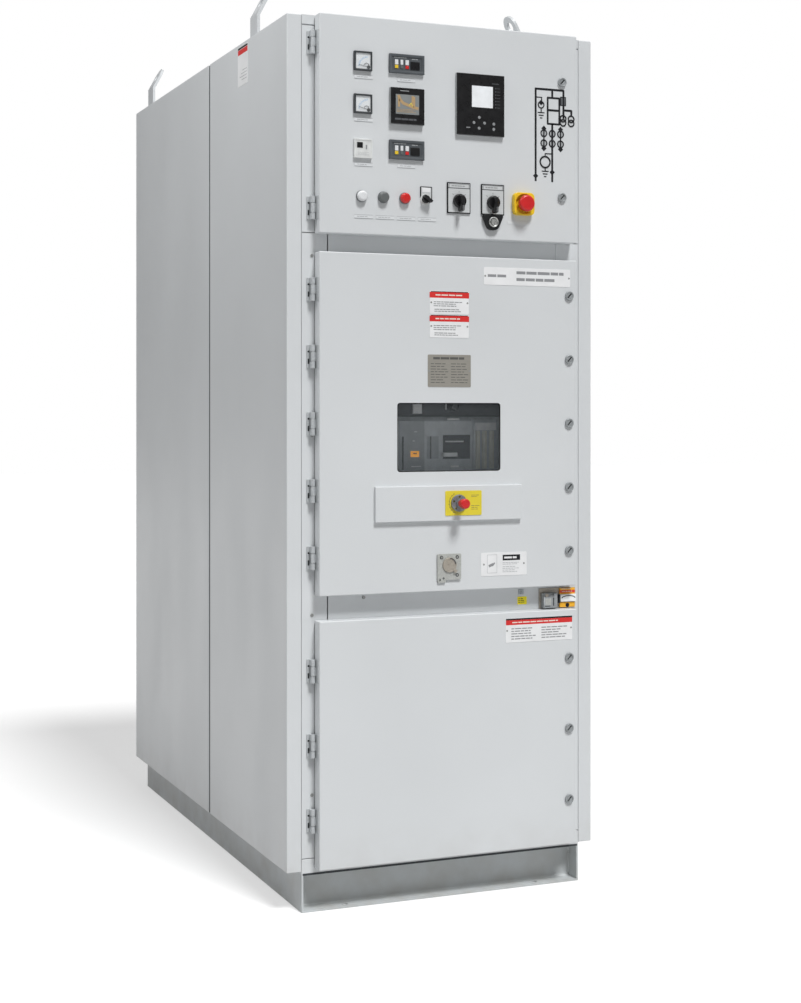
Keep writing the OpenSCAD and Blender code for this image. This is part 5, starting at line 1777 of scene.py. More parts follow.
    def build_stop(self) -> None:
        """The emergency stop: a yellow collar with a round well, and the red mushroom head."""
        low, high = corners("stop_collar")
        head_low, head_high = corners("stop_button")
        (x, z), size = centre_of("stop_collar"), high.x - low.x
        radius = (head_high.x - head_low.x) / 2
        collar = slab("stop_collar_square", (x, z), (size, size), self.face, self.face - low.y,
                      corner=0.012)
        cut(collar, button("well", (x, z), 0.0256, self.face - 0.005, 0.02, 0.0266, 56),
            button("shaft_bore", (x, z), self.stop_bore, self.face + 0.02, 0.04))
        self.add(soften(collar, 0.0016, 3), STOP_YELLOW, "stop_collar")
        barrel = button("stop_barrel", (x, z), 0.0115, self.face + 0.05, 0.0495, sides=28,
                        edge=0.0006)
        cut(barrel, button("barrel_bore", (x, z), self.stop_bore, self.face + 0.008, 0.03))
        self.add(barrel, BLACK_PLASTIC, "stop_collar")
        head = dome(rod("stop_head", (x, head_low.y + 0.021, z), (x, head_low.y, z),
                        radius - 0.0045, radius, 56), Facing.FRONT, 0.009, 8)
        neck = rod("neck", (x, head_low.y + 0.02, z), (x, head_high.y, z), 0.0085, 0.007,
                   edge=0.0006)
        self.add(joined("stop_push", [head, neck]), STOP_RED, "stop_button", body=Body.STOP)
        self.open_round((x, z), 0.012)

    def build_strips(self) -> None:
        """Engraved name strips of pale film, with a grey line along the top and the bottom."""
        x, module_x = middle("meters").x + 0.003, middle("alarm_modules").x
        lamp_low, lamp_high = corners("lamps")
        under = (lamp_low.z + lamp_high.z) / 2 - self.low.z - 0.052
        places = [(x, height - 0.04, 0.05) for height in self.meters]
        places += [(module_x, height - 0.041, 0.05) for height in self.modules]
        places += [(lamp_low.x + 0.0225 + i * 0.0593, under, 0.051) for i in range(4)]
        strips, lines, marks = [], [], []
        for i, (strip_x, height, width) in enumerate(places):
            spot = self.spot(strip_x, height)
            strips.append(slab("strip", spot, (width, 0.01), self.face, 0.0008, 0.0002, 1))
            lines += drawn(spot, [(-width / 2, level, width / 2, level, 0.0012)
                                  for level in (-0.0044, 0.0044)])
            marks += dashes(spot, (width * 0.7, 0.0045), 1, 60 + i, 0.35)
        face = self.face - 0.0008
        self.add(joined("name_strip_plates", strips), STRIP_FILM, "name_strips")
        self.print_on("name_strip_lines", lines, SOFT_PRINT, face, 0.00012)
        spot = self.spot(middle("stop_collar").x - 0.0135, under + 0.002)
        self.plate("stop_name_strip", spot, (0.06, 0.008), self.face, 0.0006, STRIP_FILM)
        self.print_on("name_strip_marks", marks, SOFT_PRINT, face, 0.00012)

    def build_mimic(self) -> None:
        """The single-line diagram beside the relay, in black film."""
        x, top, foot, z = 0.3007, 0.411, 0.164, self.low.z
        left, right, width = x - 0.05, x + 0.034, 0.0058
        columns = (x - 0.0252, x + 0.0252)
        earth = ((0, 0.0095), (0.0072, 0.0065), (0.0144, 0.003))
        lines = [((left, top), (left, foot), width), ((left, top), (right, top), width),
                 ((x, top), (x, 0.389), width), ((right, top), (right, 0.337), width),
                 ((x, 0.319), (x, foot), width), ((right, 0.358), (right + 0.024, 0.358), width),
                 ((right + 0.024, 0.358), (right + 0.024, 0.345), width)]
        lines += outline((x + 0.0038, 0.354), (0.0352, 0.0702), 0.0052)
        lines += [((x - 0.0135, 0.3557), (x + 0.021, 0.3557), 0.0056),
                  ((left, 0.3885), (left + 0.018, 0.3885), 0.003),
                  ((left + 0.018, 0.3885), (left + 0.018, 0.38), 0.003),
                  ((left + 0.0165, 0.357), (left + 0.0165, 0.349), 0.003),
                  ((x, 0.238), (x - 0.0213, 0.238), 0.003),
                  ((x - 0.0213, 0.238), (x - 0.0213, 0.231), 0.003),
                  ((x - 0.0213, 0.2), (x - 0.0213, 0.19), 0.003)]
        lines += [((column - half, level - drop), (column + half, level - drop), 0.003)
                  for column, level in ((left + 0.0165, 0.3475), (x - 0.0213, 0.1905))
                  for drop, half in earth]
        lines += [((column, 0.252), (column, 0.3055), 0.004) for column in columns]
        parts = [strokes("mimic", [(at(start, 0, z), at(end, 0, z), line)
                                   for start, end, line in lines], self.face, 0.0003)]
        rings = [(x + k * 0.0252, level, 0.0088, 0.0018) for k in (-1, 0, 1)
                 for level in (0.2927, 0.266)]
        rings += [(right - 0.001 + k * 0.0245, level, 0.0086, 0.002) for k in (0, 1)
                  for level in (0.3355, 0.3245)]
        rings += [(x - 0.0213, 0.2155, 0.0148, 0.0023), (left + 0.0165, 0.3685, 0.0085, 0.0018)]
        parts += [ring("ring", (ring_x, z + level), radius, wire, self.face - 0.0001)
                  for ring_x, level, radius, wire in rings]
        tips = [(left, 0.177), (x, 0.189), (left + 0.0165, 0.3745)]
        tips += [(column, level) for column in columns for level in (0.252, 0.3055)]
        for tip_x, level in tips:
            tip = slab("tip", (tip_x, z + level), (0.011, 0.011), self.face, 0.0005)
            parts.append(turned(tip, (tip_x, self.face, z + level), Facing.BACK, 45))
        self.add(joined("mimic_diagram", parts), BLACK_PRINT)
        fields = [button("field", (ring_x, z + level), radius - wire / 2, self.face, 0.0002,
                         sides=28) for ring_x, level, radius, wire in rings[:6]]
        self.add(joined("mimic_fields", fields), SOFT_PRINT)
        fuse = (right - 0.0012, z + 0.382)
        self.plate("mimic_fuse", fuse, (0.0158, 0.0225), self.face, 0.00046, DARK_PRINT)
        self.print_on("mimic_fuse_edge", [
            *outline(fuse, (0.0158, 0.0225), 0.002),
            ((right, fuse[1] - 0.011), (right, fuse[1] + 0.011), 0.0045)], BLACK_PRINT,
            self.face - 0.0004)


@dataclass
class MiddleDoor(Door):
    """The door of the breaker compartment: window, trip channel, racking port and labels.

    Fields:
        window_corner: Radius of the window's corners.
        window_lap: How far the pane laps behind the door on each side.
        trip_bore: Radius of the hole for the trip's head.
        port_bore: Radius of the racking port's bore.
        cap_radius: Radius of the port's cap.
        cap_pin: How far the cap's pin lies to the right of the bore, and below it.
    """

    window_corner: float = 0.0078
    window_lap: float = 0.012
    trip_bore: float = 0.01
    port_bore: float = 0.011
    cap_radius: float = 0.02
    cap_pin: float = 0.016

    def build(self) -> None:
        """Window and fittings first, because their holes go into the leaf."""
        self.build_window()
        self.build_channel()
        self.build_trip()
        self.build_port()
        self.build_cap()
        self.build_labels()
        self.finish_door()

    def build_window(self) -> None:
        """The pane behind a rounded opening, with its clamping frame and gasket."""
        low, high = corners("window_pane")
        spot, whole = centre_of("window_pane"), (high.x - low.x, high.z - low.z)
        size = at(whole, -2 * self.window_lap, -2 * self.window_lap)
        radius = self.window_corner
        self.open_square(spot, size, radius)
        inset = Vector((0.002, 0, 0.002))
        glass = self.face + self.sheet
        pane = block("window_pane_glass", Vector((low.x, glass, low.z)) + inset,
                     Vector((high.x, glass + 0.005, high.z)) - inset, 0.0004, 1)
        self.add(pane, WINDOW_GLASS, "window_pane")
        gasket = slab("window_gasket", spot, size, self.face + 0.0022, 0.0012, corner=radius)
        cut(gasket, slab("opening", spot, at(size, -0.005, -0.005), self.face + 0.01, 0.02,
                         corner=radius - 0.002))
        self.add(soften(gasket, 0.0003, 1), BLACK_PLASTIC)
        clamp = slab("window_clamp", spot, whole, high.y, 0.0025)
        cut(clamp, slab("inner", spot, at(size, 0.004, 0.004), high.y + 0.01, 0.03, corner=radius))
        self.add(soften(clamp, 0.0005, 1), CABINET_PAINT, "window_pane")

    def build_channel(self) -> None:
        """The raised channel: a folded tray on the door."""
        low, high = corners("raised_channel")
        trip = centre_of("trip_button")
        channel = tray("raised_channel_tray", low, high, Facing.BACK, 0.002, 0.002, 0.0016)
        cut(channel, button("bore", trip, self.trip_bore, self.face + 0.01, 0.04, sides=40))
        self.add(soften(channel), CABINET_PAINT, "raised_channel")
        self.open_round(trip, self.trip_bore)

    def build_trip(self) -> None:
        """The yellow trip plate with its pierced disc, and the red push button."""
        low, high = corners("trip_plate")
        push_low, push_high = corners("trip_button")
        x, z = centre_of("trip_button")
        back = corners("raised_channel")[0].y
        front = back - 0.0015
        shaft_bore = button("bore", (x, z), 0.0061, back + 0.01, 0.03)
        card = slab("trip_card", (middle("trip_plate").x, z), (high.x - low.x, high.z - low.z),
                    back, 0.0015, corner=0.003)
        cut(card, twin(shaft_bore, "bore", (0, 0, 0)))
        self.add(soften(card, 0.0003, 1), TRIP_YELLOW, "trip_plate")
        disc = button("trip_disc", (x, z), 0.023, front, 0.005, 0.0222, 56, 0.001, 3)
        cut(disc, twin(shaft_bore, "bore", (0, 0, 0)), *[
            button("lock_hole", spot, 0.003, front + 0.002, 0.01, sides=24)
            for spot in arc((x, z), 0.0165, 18, 72, 5)])
        boss = cut(button("boss", (x, z), 0.01, front, 0.01, 0.0095, 40, 0.0008), shaft_bore)
        self.add(joined("trip_disc", [soften(disc), soften(boss)]), TRIP_CASTING, "trip_plate")
        rim, inner, outer = (arc((x, z), radius, 118, 17, 9)
                             for radius in (0.0275, 0.0265, 0.0295))
        right = high.x - 0.018
        self.print_on("trip_print", [
            *chain(rim, 0.0009), *[(start, end, 0.0007) for start, end in zip(inner[:-1], outer)],
            *dashes((right, z + 0.0185), (0.024, 0.007), 2, 71, 0.28),
            *dashes((right, z - 0.012), (0.024, 0.014), 3, 72, 0.2)], STEEL_PRINT, front)
        head = dome(rod("trip_head", (x, push_low.y + 0.022, z), (x, push_low.y, z), 0.0115, 0.014,
                        48), Facing.FRONT, 0.0055)
        shaft = rod("shaft", (x, push_low.y + 0.0215, z), (x, push_high.y, z), 0.006, sides=28,
                    edge=0.0005, steps=1)
        self.add(joined("trip_push", [head, shaft]), STOP_RED, "trip_button", body=Body.TRIP)

    def build_port(self) -> None:
        """The racking port's cast plate with its padlock ear, and painted shade around its screws.
        """
        low, high = corners("racking_port")
        x, size, face = (low.x + high.x) / 2, high.x - low.x, self.face
        middle_z, foot = high.z - size / 2, high.z - size
        bore_z = corners("racking_cap")[1].z - self.cap_radius
        pin_spot = at((x, bore_z), self.cap_pin, -self.cap_pin)
        through = face + 0.01
        plate = slab("port_plate", (x, middle_z), (size, size), face, 0.005, corner=0.003)
        united(plate, slab("ear", (low.x + 0.0125, (low.z + foot + 0.01) / 2),
                           (0.023, foot + 0.01 - low.z), face - 0.0002, 0.0046, corner=0.003))
        cut(plate, button("bore", (x, bore_z), self.port_bore, through, 0.02, sides=40),
            button("pin_bore", pin_spot, 0.0033, face - 0.0005, 0.02, sides=24),
            *[button("padlock", (low.x + dx, foot + dz), 0.003, through, 0.02, sides=24)
              for dx, dz in ((0.007, 0.0), (0.017, 0.004))])
        tube = rod("tube", (x, face, bore_z), (x, high.y, bore_z), 0.016, sides=40)
        cut(tube, button("bore", (x, bore_z), self.port_bore, high.y + 0.01, 0.06, sides=40))
        self.add(joined("port_casting", [soften(plate, 0.0009), soften(tube, 0.0008)]),
                 PORT_CASTING, "racking_port")
        spots = [at((x, middle_z), right, up)
                 for right, up in ((-0.0225, 0.025), (0.0225, 0.025), (0.0225, -0.022))]
        # Dark discs under the screw heads: painted shade.
        wells = [button("well", spot, 0.0048, face - 0.0049, 0.0003, sides=24) for spot in spots]
        self.add(joined("port_screw_wells", wells), STEEL_SHADOW)
        self.add(screws("port_screws", [(a, face - 0.0051, b) for a, b in spots], Facing.FRONT,
                        0.003, 0.0009), SCREW_ZINC)
        self.open_round((x, bore_z), 0.0165)

    def build_cap(self) -> None:
        """The round cap that swings on a pin below the racking port's bore."""
        low, high = corners("racking_cap")
        x, z = low.x + self.cap_radius, high.z - self.cap_radius
        seat = self.face - 0.0053
        lid = soften(sink(button("lid", (x, z), self.cap_radius, seat, 0.003, 0.0196, 56, 0.0008,
                                 3), Facing.FRONT, 0.0035, 0.0007))
        pin_spot = at((x, z), self.cap_pin, -self.cap_pin)
        thumb = slab("thumb", (x - 0.004, z + 0.006), (0.005, 0.016), seat - 0.0024, 0.0016,
                     0.0006)
        self.add(joined("port_cap", [
            lid, turned(thumb, (x, self.face, z), Facing.BACK, 38),
            button("pivot", pin_spot, 0.005, seat, low.y * -1 + seat, 0.0046, 32, 0.0006),
            button("pin", pin_spot, 0.003, high.y, high.y - seat, sides=20)]),
            CAP_CASTING, "racking_cap", body=Body.CAP)
        self.print_on("port_cap_shade", chain(arc((x, z), 0.0172, 8, 13, 7), 0.003), DARK_PRINT,
                      seat - 0.0029, 0.0001, Body.CAP)

    def build_labels(self) -> None:
        """Name label, two notice labels, rating plate and instruction label."""
        node = "middle_door_labels"
        high, z = corners(node)[1], self.low.z
        x = middle("window_pane").x - 0.0005
        self.label("name_label", (high.x - 0.129, z + 0.831), (0.258, 0.047), node, [
            ("marks", GREY_PRINT, [
                *dashes((high.x - 0.085, z + 0.842), (0.15, 0.013), 1, 80, 0.6),
                *dashes((high.x - 0.095, z + 0.824), (0.13, 0.013), 1, 81, 0.6),
                *dashes((high.x - 0.215, z + 0.832), (0.06, 0.013), 1, 82, 0.55)])])
        for i, height in enumerate((0.695, 0.757)):
            self.notice(f"notice_label_{i + 1}", self.spot(x, height), (0.112, 0.06), node, 90 + i)
        spot = self.spot(x, 0.578)
        self.label("rating_plate", spot, (0.124, 0.085), node, [
            ("print", STEEL_PRINT, [
                *dashes(at(spot, 0, 0.033), (0.09, 0.01), 1, 100, 0.6),
                *dashes(at(spot, -0.028, -0.006), (0.05, 0.056), 8, 101, 0.25),
                *dashes(at(spot, 0.03, -0.006), (0.05, 0.056), 8, 102, 0.25)])],
            RATING_PLATE)
        spot = self.spot(0.156, 0.066)
        box, bar = at(spot, -0.035, 0.001), at(spot, 0.022, 0.0165)
        self.label("instruction_label", spot, (0.135, 0.062), node, [
            ("bar", BLACK_PRINT, drawn(bar, [(-0.022, 0, 0.022, 0, 0.015)])),
            ("sketch", GREY_PRINT, drawn(box, [(-0.008, -0.0055, 0.002, -0.0015, 0.007),
                                               (0.001, -0.005, 0.007, 0.002, 0.004)])),
            ("pieces", LABEL_WHITE, dashes(bar, (0.04, 0.01), 1, 112, 0.5)),
            ("print", SOFT_PRINT, [
                *outline(box, (0.028, 0.048), 0.0008),
                *dashes(at(bar, 0, -0.0155), (0.052, 0.008), 2, 109, 0.3),
                *dashes(at(bar, 0, -0.031), (0.052, 0.018), 4, 110, 0.3)])],
            rivet=(0.0085, 0.0))


@dataclass
class BottomDoor(Door):
    """The plain door of the cable compartment, with one wide label."""

    def build(self) -> None:
        """The label, then the door around it."""
        node = "bottom_door_label"
        low, high = corners(node)
        (x, z), top, width = centre_of(node), high.z, high.x - low.x
        left, right = low.x + 0.0006, high.x - 0.0006
        self.label("wide_label", (x, z), (width, top - low.z), node, [
            ("band", BLACK_PRINT, [((left + 0.001, top - 0.0022), (right - 0.001, top - 0.0022),
                                    0.0042)]),
            ("head", RED_PRINT, [((left + 0.003, top - 0.0108), (right - 0.003, top - 0.0108),
                                  0.0128)]),
            ("title", PALE_PRINT, dashes((x, top - 0.0108), (0.16, 0.0075), 1, 122, 0.4)),
            ("print", GREY_PRINT, [
                *dashes((x - 0.044, z - 0.009), (0.078, 0.034), 5, 120, 0.38),
                *dashes((x + 0.046, z - 0.009), (0.078, 0.034), 5, 121, 0.38)])])
        self.finish_door()


@dataclass
class TransomFittings(Assembly):
    """What is fixed to the lower transom, and the label on the end cover."""

    def build(self) -> None:
        """Earthing point, tag, hook, small lug and cover label."""
        self.build_earthing_point()
        self.build_small_plates()
        self.build_cover_label()

    def build_earthing_point(self) -> None:
        """Operating point of the earthing switch: back plate, key block, gate and markers."""
        low, high = corners("earthing_mechanism")
        front, node = high.y - 0.003, "earthing_mechanism"
        x, z = centre_of(node)
        self.add(slab("earthing_plate", (x, z), (high.x - low.x, high.z - low.z), high.y, 0.003,
                      0.0006), CAP_CASTING, node)
        key_x, key_z = x - 0.028, z - 0.0055
        housing = slab("key_block", (key_x, key_z), (0.042, 0.041), front, 0.017, 0.0022, 3)
        cut(housing, slab("step", (key_x - 0.006, key_z + 0.017), (0.034, 0.014), front - 0.013,
                          0.02))
        self.add(soften(housing), LOCK_CASTING, node)
        self.add(button("earthing_eye", (key_x - 0.01, key_z + 0.0145), 0.0055, front - 0.0122,
                        0.0022, 0.005, 28, 0.0006), CAP_CASTING)
        self.add(slab("earthing_cover", (key_x - 0.008, key_z - 0.003), (0.018, 0.0175),
                      front - 0.0168, 0.0006, 0.0002, 1), PORT_CASTING)
        # The thin slots on the key block are dark as painted shade; the two bars share the dark
        # steel.
        self.add(joined("earthing_slot_shades_and_bars", [
            slab("slot", (key_x + 0.0085, key_z - 0.003), (0.003, 0.022), front - 0.0165, 0.0006),
            slab("slot", (key_x - 0.0095, key_z - 0.0145), (0.016, 0.002), front - 0.0165, 0.0006),
            slab("bar", (x - 0.003, z - 0.003), (0.004, 0.022), front, 0.009),
            slab("bar", (x + 0.0035, z - 0.003), (0.003, 0.022), front, 0.009)]), STEEL_SHADOW)
        self.add(slab("earthing_gate", (x + 0.03, z - 0.001), (0.048, 0.02), front, 0.009,
                      0.0012), BREAKER_LIGHT, node)
        self.print_on("earthing_gate_mark",
                      chain(arc((x + 0.03, z - 0.001), 0.02, 0, 20, 10, 0.3), 0.0022),
                      BLACK_PRINT, front - 0.009)
        for name, level, tall in (("upper", high.z - 0.0095, 0.0165), ("lower", low.z + 0.0075,
                                                                       0.013)):
            card = slab(f"marker_{name}", (x + 0.029, level), (0.046, tall), front, 0.005, 0.0006)
            self.add(card, TAG_ORANGE, node)
        self.print_on("marker_strip", [((x + 0.0075, high.z - 0.0105), (x + 0.0505, high.z - 0.0105),
                                        0.007)], RED_PRINT, front - 0.005)
        # A black disc on the lower marker: painted shade of a hole.
        self.add(button("marker_well", (x + 0.029, low.z + 0.0065), 0.0058, front - 0.0049, 0.0003,
                        sides=28), BLACK_PRINT)
        self.print_on("marker_print", [
            *dashes((x + 0.029, high.z - 0.0035), (0.036, 0.004), 1, 130, 0.4),
            *dashes((x + 0.029, high.z - 0.0105), (0.034, 0.0045), 1, 131, 0.35)], PALE_PRINT,
            front - 0.0053)

    def build_small_plates(self) -> None:
        """The yellow tag, a hook and a small lug on the lower transom."""
        left = corners("earthing_mechanism")[0].x - 0.064
        front, top = corners("front_rails")[0].y, corners("middle_door")[0].z
        spot = (left + 0.014, top - 0.0385)
        self.add(slab("yellow_tag", spot, (0.028, 0.021), front, 0.0008, 0.0002, 1, 0.002),
                 TAG_YELLOW, "small_plates")
        self.print_on("tag_print", dashes(spot, (0.022, 0.014), 3, 140, 0.35), BLACK_PRINT,
                      front - 0.0008, 0.0001)
        self.add(joined("transom_hook", [
            slab("plate", (left + 0.01, top - 0.015), (0.015, 0.013), front, 0.003, 0.0008),
            slab("nose", (left + 0.01, top - 0.0185), (0.006, 0.006), front, 0.011, 0.001)]),
            BREAKER_MIDDLE)
        self.add(button("transom_lug", (-0.23, top - 0.011), 0.0045, front, 0.004, 0.004, 24,
                        0.0006), SCREW_ZINC)

    def build_cover_label(self) -> None:
        """The label on the left end cover, with a black and a red band."""
        low, high = corners("small_plates")
        outer, inner = low.x, corners("end_covers")[0].x
        y1, z1 = high.y, high.z
        y0, z0 = y1 - 0.092, z1 - 0.108
        self.add(block("cover_label", (outer + 0.0002, y0, z0), (inner, y1, z1), 0.0002, 1),
                 LABEL_WHITE, "small_plates")

        def band(name: str, drop: float, tall: float, start: float, end: float) -> Piece:
            """A printed band, so far below the label's top edge."""
            return block(name, (outer + 0.00005, y0 + start, z1 - drop - tall),
                         (outer + 0.0003, y0 + end, z1 - drop))

        self.add(band("cover_label_band", 0.001, 0.0055, 0.002, 0.09), BLACK_PRINT)
        self.add(band("cover_label_head", 0.0075, 0.014, 0.002, 0.09), RED_PRINT)
        rows = [band("row", 0.066 + i * 0.0085, 0.0018, 0.009, 0.05 + 0.03 * ((i * 7) % 5) / 5)
                for i in range(4)]
        self.add(joined("cover_label_print", rows), SOFT_PRINT)


@dataclass
class BreakerTruck(Assembly):
    """The withdrawable breaker: carriage, housing with its front controls, poles and arms.

    Fields:
        wheel_radius: Radius of the wheels.
        shed_radius: Radius of the sheds on the poles.
    """

    wheel_radius: float = 0.0247
    shed_radius: float = 0.065

    def build(self) -> None:
        """Carriage, housing, front controls and poles."""
        self.build_carriage()
        self.build_housing()
        self.build_front()
        self.build_poles()

    def build_carriage(self) -> None:
        """A folded carriage with wheels in bearing blocks."""
        low, high = corners("truck_carriage")
        side_x, radius = high.x - 0.014, self.wheel_radius
        self.add(tray("carriage_deck", (-side_x, low.y, high.z - 0.05), (side_x, high.y, high.z),
                      Facing.DOWN, 0.003, 0.003, 0.0025), ZINC, "truck_carriage")
        wheels, blocks = [], []
        for side, out in ((-1, Facing.LEFT), (1, Facing.RIGHT)):
            for y in (low.y + 0.07, high.y - 0.07):
                wheel = rod("wheel", (side * side_x, y, low.z + radius),
                            (side * high.x, y, low.z + radius), radius, sides=40, edge=0.0016)
                wheels.append(soften(sink(wheel, out, 0.008, 0.002)))
                inner, outer = sorted((side * (side_x - 0.02), side * side_x))
                blocks.append(block("bearing", (inner, y - 0.015, low.z + radius - 0.012),
                                    (outer, y + 0.015, high.z - 0.05), 0.0015))
        self.add(joined("carriage_wheels", wheels), STEEL_SHADOW, "truck_carriage")
        self.add(joined("wheel_bearings", blocks), SCREW_ZINC, "truck_carriage")

    def build_housing(self) -> None:
        """The moulded housing with grooves and a shoulder along its top."""
        low, high = corners("breaker_housing")
        step, shoulder = 0.03, high.z - 0.15
        self.add(block("housing_rear", (low.x, low.y + step, low.z), high, 0.003, 3),
                 BREAKER_DARK, "breaker_housing")
        front = block("housing_front", low, (high.x, low.y + step, shoulder))
        with editing(front, "EDGE") as mesh:
            for edge in mesh.edges:
                edge.select_set(all(v.co.y < low.y + 0.001 and v.co.z > shoulder - 0.001
                                    for v in edge.verts))
            bpy.ops.mesh.bevel(offset=0.012, segments=1, affect="EDGES")
        soften(front, 0.003, 3)
        cut(front, *[block("groove", (x - 0.003, low.y - 0.01, low.z - 0.01),
                           (x + 0.003, low.y + 0.006, high.z)) for x in (-0.19, 0.133, 0.209)])
        self.add(soften(front), BREAKER_GREY, "breaker_housing")

    def build_front(self) -> None:
        """What shows through the window: panels, handle, knobs, flags and ribs; dark blocks paint
        the shade in its recesses, and the flag's glow is painted light.
        """
        face, (x, z) = corners("breaker_housing")[0].y, centre_of("window_pane")

        def part(spot: Spot, size: Spot, back: float = 0.0, depth: float = 0.002) -> Piece:
            """A small block before the housing, placed from the window's middle."""
            return slab("part", at(spot, x, z), size, face - back, depth, 0.0008)

        groups = (
            ("breaker_panel", BREAKER_MIDDLE, [
                part((-0.0455, -0.035), (0.074, 0.155)), part((0.0165, -0.03), (0.034, 0.06))]),
            # Dark blocks and thin dark strips where the front is recessed: painted shade.
            ("breaker_well", BREAKER_DARK, [
                part((0.087, -0.029), (0.081, 0.065)), part((-0.072, -0.045), (0.005, 0.09), 0.002,
                                                            0.001),
                part((0.0095, -0.03), (0.004, 0.061), 0.002, 0.001)]),
            ("breaker_light_bars", BREAKER_LIGHT, [
                part((0.0775, 0.0465), (0.036, 0.005)),
                part((0.08, -0.014), (0.055, 0.004), 0.002),
                part((0.0815, -0.082), (0.024, 0.005)),
                part((-0.0185, 0.0745), (0.026, 0.026), -0.03, 0.008),
                part((-0.0345, 0.013), (0.009, 0.003), 0.002, 0.001),
                part((-0.0405, -0.012), (0.007, 0.003), 0.002, 0.001),
                part((-0.0335, -0.081), (0.028, 0.003), 0.002, 0.001),
                part((0.1735, 0.0265), (0.062, 0.021), 0.0, 0.006)]),
            ("charging_handle", BREAKER_LIGHT, [
                part((0.0625, -0.0495), (0.04, 0.011), 0.01, 0.008),
                part((0.0465, -0.0495), (0.007, 0.011), 0.0, 0.012),
                part((0.0785, -0.0495), (0.007, 0.011), 0.0, 0.012)]),
            # The flag glows though it is no lamp: painted light.
            ("spring_flag", FLAG_ORANGE_PAINTED_GLOW, [part((-0.037, -0.0475), (0.025, 0.016), 0.002, 0.001)]),
            ("spring_flag_mark", BREAKER_DARK, [
                part((-0.037, -0.0455), (0.012, 0.003), 0.003, 0.0006)]),
            ("breaker_ribs", BREAKER_RIB, [
                part((rib_x, -0.037), (0.009, 0.104), 0.0, 0.012)
                for rib_x in (0.1485, 0.1685, 0.1905)]))
        for name, finish, parts in groups:
            self.add(joined(name, parts), finish)
        knob = (x + 0.085, z + 0.0805)
        self.add(button("breaker_knob", knob, 0.013, face + 0.03, 0.03, 0.0115, edge=0.003,
                        steps=3), DEEP_BLACK)
        self.add(slab("breaker_knob_mark", at(knob, -0.0165, 0), (0.004, 0.018), face + 0.03,
                      0.003, 0.001), PALE_PLASTIC)

    def build_poles(self) -> None:
        """Three resin poles with sheds, and their contact arms with tulip clusters."""
        low, high = corners("breaker_poles")
        radius, base = self.shed_radius, corners("breaker_housing")[0].z
        pitch, centre_y = (high.x - low.x) / 2 - radius, low.y + radius

        def axle(name: str, start: Spot, end: Spot, size: float, end_size: float | None = None,
                 sides: int = 36, edge: float = 0.003) -> Piece:
            """A round part of the left pole, from one (y, z) to another."""
            return rod(name, (-pitch, *start), (-pitch, *end), size, end_size, sides, edge)

        poles = [axle("pole", (centre_y, base), (centre_y, high.z), radius * 0.86, sides=48)]
        poles += [axle("shed", (centre_y, z), (centre_y, z + 0.012), radius, radius * 0.9, 48,
                       0.002) for z in spread(base + 0.03, high.z - 0.04, 9)]
        tips = []
        for z in (base + 0.15, base + 0.45):
            poles.append(axle("sleeve", (centre_y, z), (high.y - 0.05, z), 0.024))
            tips.append(axle("contact", (high.y - 0.06, z), (high.y, z), 0.019, 0.016,
                             edge=0.0008))
            for k in range(16):
                angle = math.tau * k / 16
                start = Vector((-pitch + 0.0195 * math.cos(angle), high.y - 0.045,
                                z + 0.0195 * math.sin(angle)))
                tips.append(rod("finger", start, start + Vector((0, 0.04, 0)), 0.0028, sides=8,
                                edge=0.0006, steps=1))
        shifts = [(pitch, 0, 0), (2 * pitch, 0, 0)]
        self.add(row("resin_poles", joined("pole_1", poles), shifts), POLE_RESIN, "breaker_poles")
        self.add(row("contact_arms", joined("contacts_1", tips), shifts), COPPER, "breaker_poles")


# ---------- Studio ----------


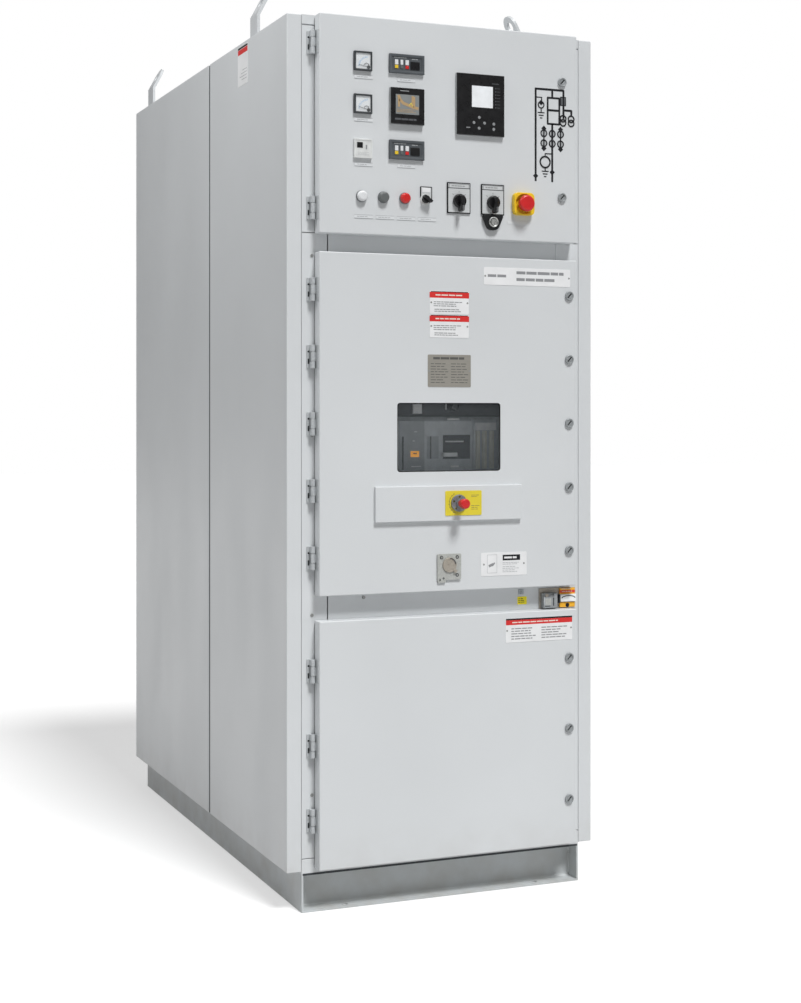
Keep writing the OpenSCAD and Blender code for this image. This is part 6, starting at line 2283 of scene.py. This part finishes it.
@dataclass
class Studio:
    """A pale floor under an even sky, a soft sun before the doors, and the camera.

    Fields:
        floor_size: Side of the floor.
        floor_tone: How much light the floor sends back.
        floor_lift: What the floor adds for the camera, so that it reads white in the sun.
        sky: Strength of the sky as a light.
        sun: Strength of the sun.
        sun_way: The way its light travels.
        sun_angle: How wide the sun looks, in degrees.
        fill: Power of the lamp at the left.
        camera_spot: Place of the camera.
        camera_turn: Heading of the camera in degrees.
        lens: Focal length in millimetres.
        rise: Vertical shift of the camera's frame.
    """

    floor_size: float = 60.0
    floor_tone: float = 0.55
    floor_lift: float = 0.47
    sky: float = 0.245
    sun: float = 2.95
    sun_way: Point = (-0.19, 1.0, -1.55)
    sun_angle: float = 14.0
    fill: float = 27.0
    camera_spot: Point = (-1.8358, -4.9203, 1.286)
    camera_turn: float = -22.536
    lens: float = 61.13
    rise: float = -0.0907

    def build(self) -> None:
        """Floor, world, lamps and camera."""
        self.build_floor()
        self.build_world()
        sun = bpy.data.lights.new("sun", "SUN")
        sun.energy, sun.angle = self.sun, math.radians(self.sun_angle)
        self.place(sun, (0, 0, 8), self.sun_way)
        fill = bpy.data.lights.new("side_fill", "AREA")
        fill.energy, fill.size = self.fill, 1.0
        self.place(fill, (-1.9, -0.86, 3.6), (1.46, 0.8, -1.6))
        self.build_camera()
        bpy.context.scene.view_settings.view_transform = "Standard"

    @staticmethod
    def place(light: bpy.types.Light, spot: Point, way: Point) -> None:
        """Sets a lamp up at a spot, shining one way."""
        holder = bpy.data.objects.new(light.name, light)
        holder.location = spot
        holder.rotation_euler = Vector(way).to_track_quat("-Z", "Y").to_euler()
        bpy.context.scene.collection.objects.link(holder)

    def build_floor(self) -> None:
        """A large pale floor that keeps the shadow and reads white to the camera."""
        choose()
        bpy.ops.mesh.primitive_plane_add(size=self.floor_size, location=(0, 0, 0))
        floor = settled("floor")
        recipe = Recipe("studio_floor")
        path = recipe.add("ShaderNodeLightPath").outputs
        seen = recipe.math("MAXIMUM", path["Is Camera Ray"], recipe.math(
            "MAXIMUM", path["Is Glossy Ray"], path["Is Transmission Ray"]))
        tone = recipe.mix(recipe.noise(0.8), (self.floor_tone,) * 3, (self.floor_tone * 1.02,) * 3)
        recipe.surface(Base_Color=tone, Roughness=0.9, Emission_Color=(1.0, 1.0, 1.0),
                       Emission_Strength=recipe.math("MULTIPLY", seen, self.floor_lift))
        floor.data.materials.append(recipe.material)

    def build_world(self) -> None:
        """An even sky that is white to the camera and softer as a light."""
        world = bpy.context.scene.world = bpy.data.worlds.new("studio_sky")
        world.use_nodes = True
        tree = world.node_tree
        background = tree.nodes["Background"]
        level = tree.nodes.new("ShaderNodeMapRange")
        level.inputs["To Min"].default_value = self.sky
        path = tree.nodes.new("ShaderNodeLightPath")
        tree.links.new(path.outputs["Is Camera Ray"], level.inputs["Value"])
        tree.links.new(level.outputs["Result"], background.inputs["Strength"])
        background.inputs["Color"].default_value = (1, 1, 1, 1)

    def build_camera(self) -> None:
        """The camera stands to the left of the doors at chest height."""
        camera = bpy.data.cameras.new("camera")
        camera.lens = self.lens
        camera.sensor_width = 36.0
        camera.shift_y = self.rise
        holder = bpy.data.objects.new("camera", camera)
        holder.location = self.camera_spot
        holder.rotation_euler = (math.pi / 2, 0, math.radians(self.camera_turn))
        bpy.context.scene.collection.objects.link(holder)
        bpy.context.scene.camera = holder


def main() -> None:
    """Builds the sub-assemblies in order, then the studio."""
    logging.basicConfig(level=logging.INFO, format="%(message)s")
    five = spread(0.096, 0.784, 5)
    three = (0.123, 0.3145, 0.506)
    for assembly in (
            Base(Body.CABINET), Frame(Body.CABINET), EndCovers(Body.CABINET), Back(Body.CABINET),
            Roof(Body.CABINET), BreakerTruck(Body.TRUCK),
            TopDoor(Body.TOP_DOOR, "top_door", (0.0655, 0.4895), (0.122, 0.433), 0.0455),
            MiddleDoor(Body.MIDDLE_DOOR, "middle_door", five, five),
            BottomDoor(Body.BOTTOM_DOOR, "bottom_door", three, three),
            TransomFittings(Body.CABINET)):
        LOG.info("--- %s", type(assembly).__name__)
        assembly.build()
    Studio().build()


if __name__ == "__main__":
    main()
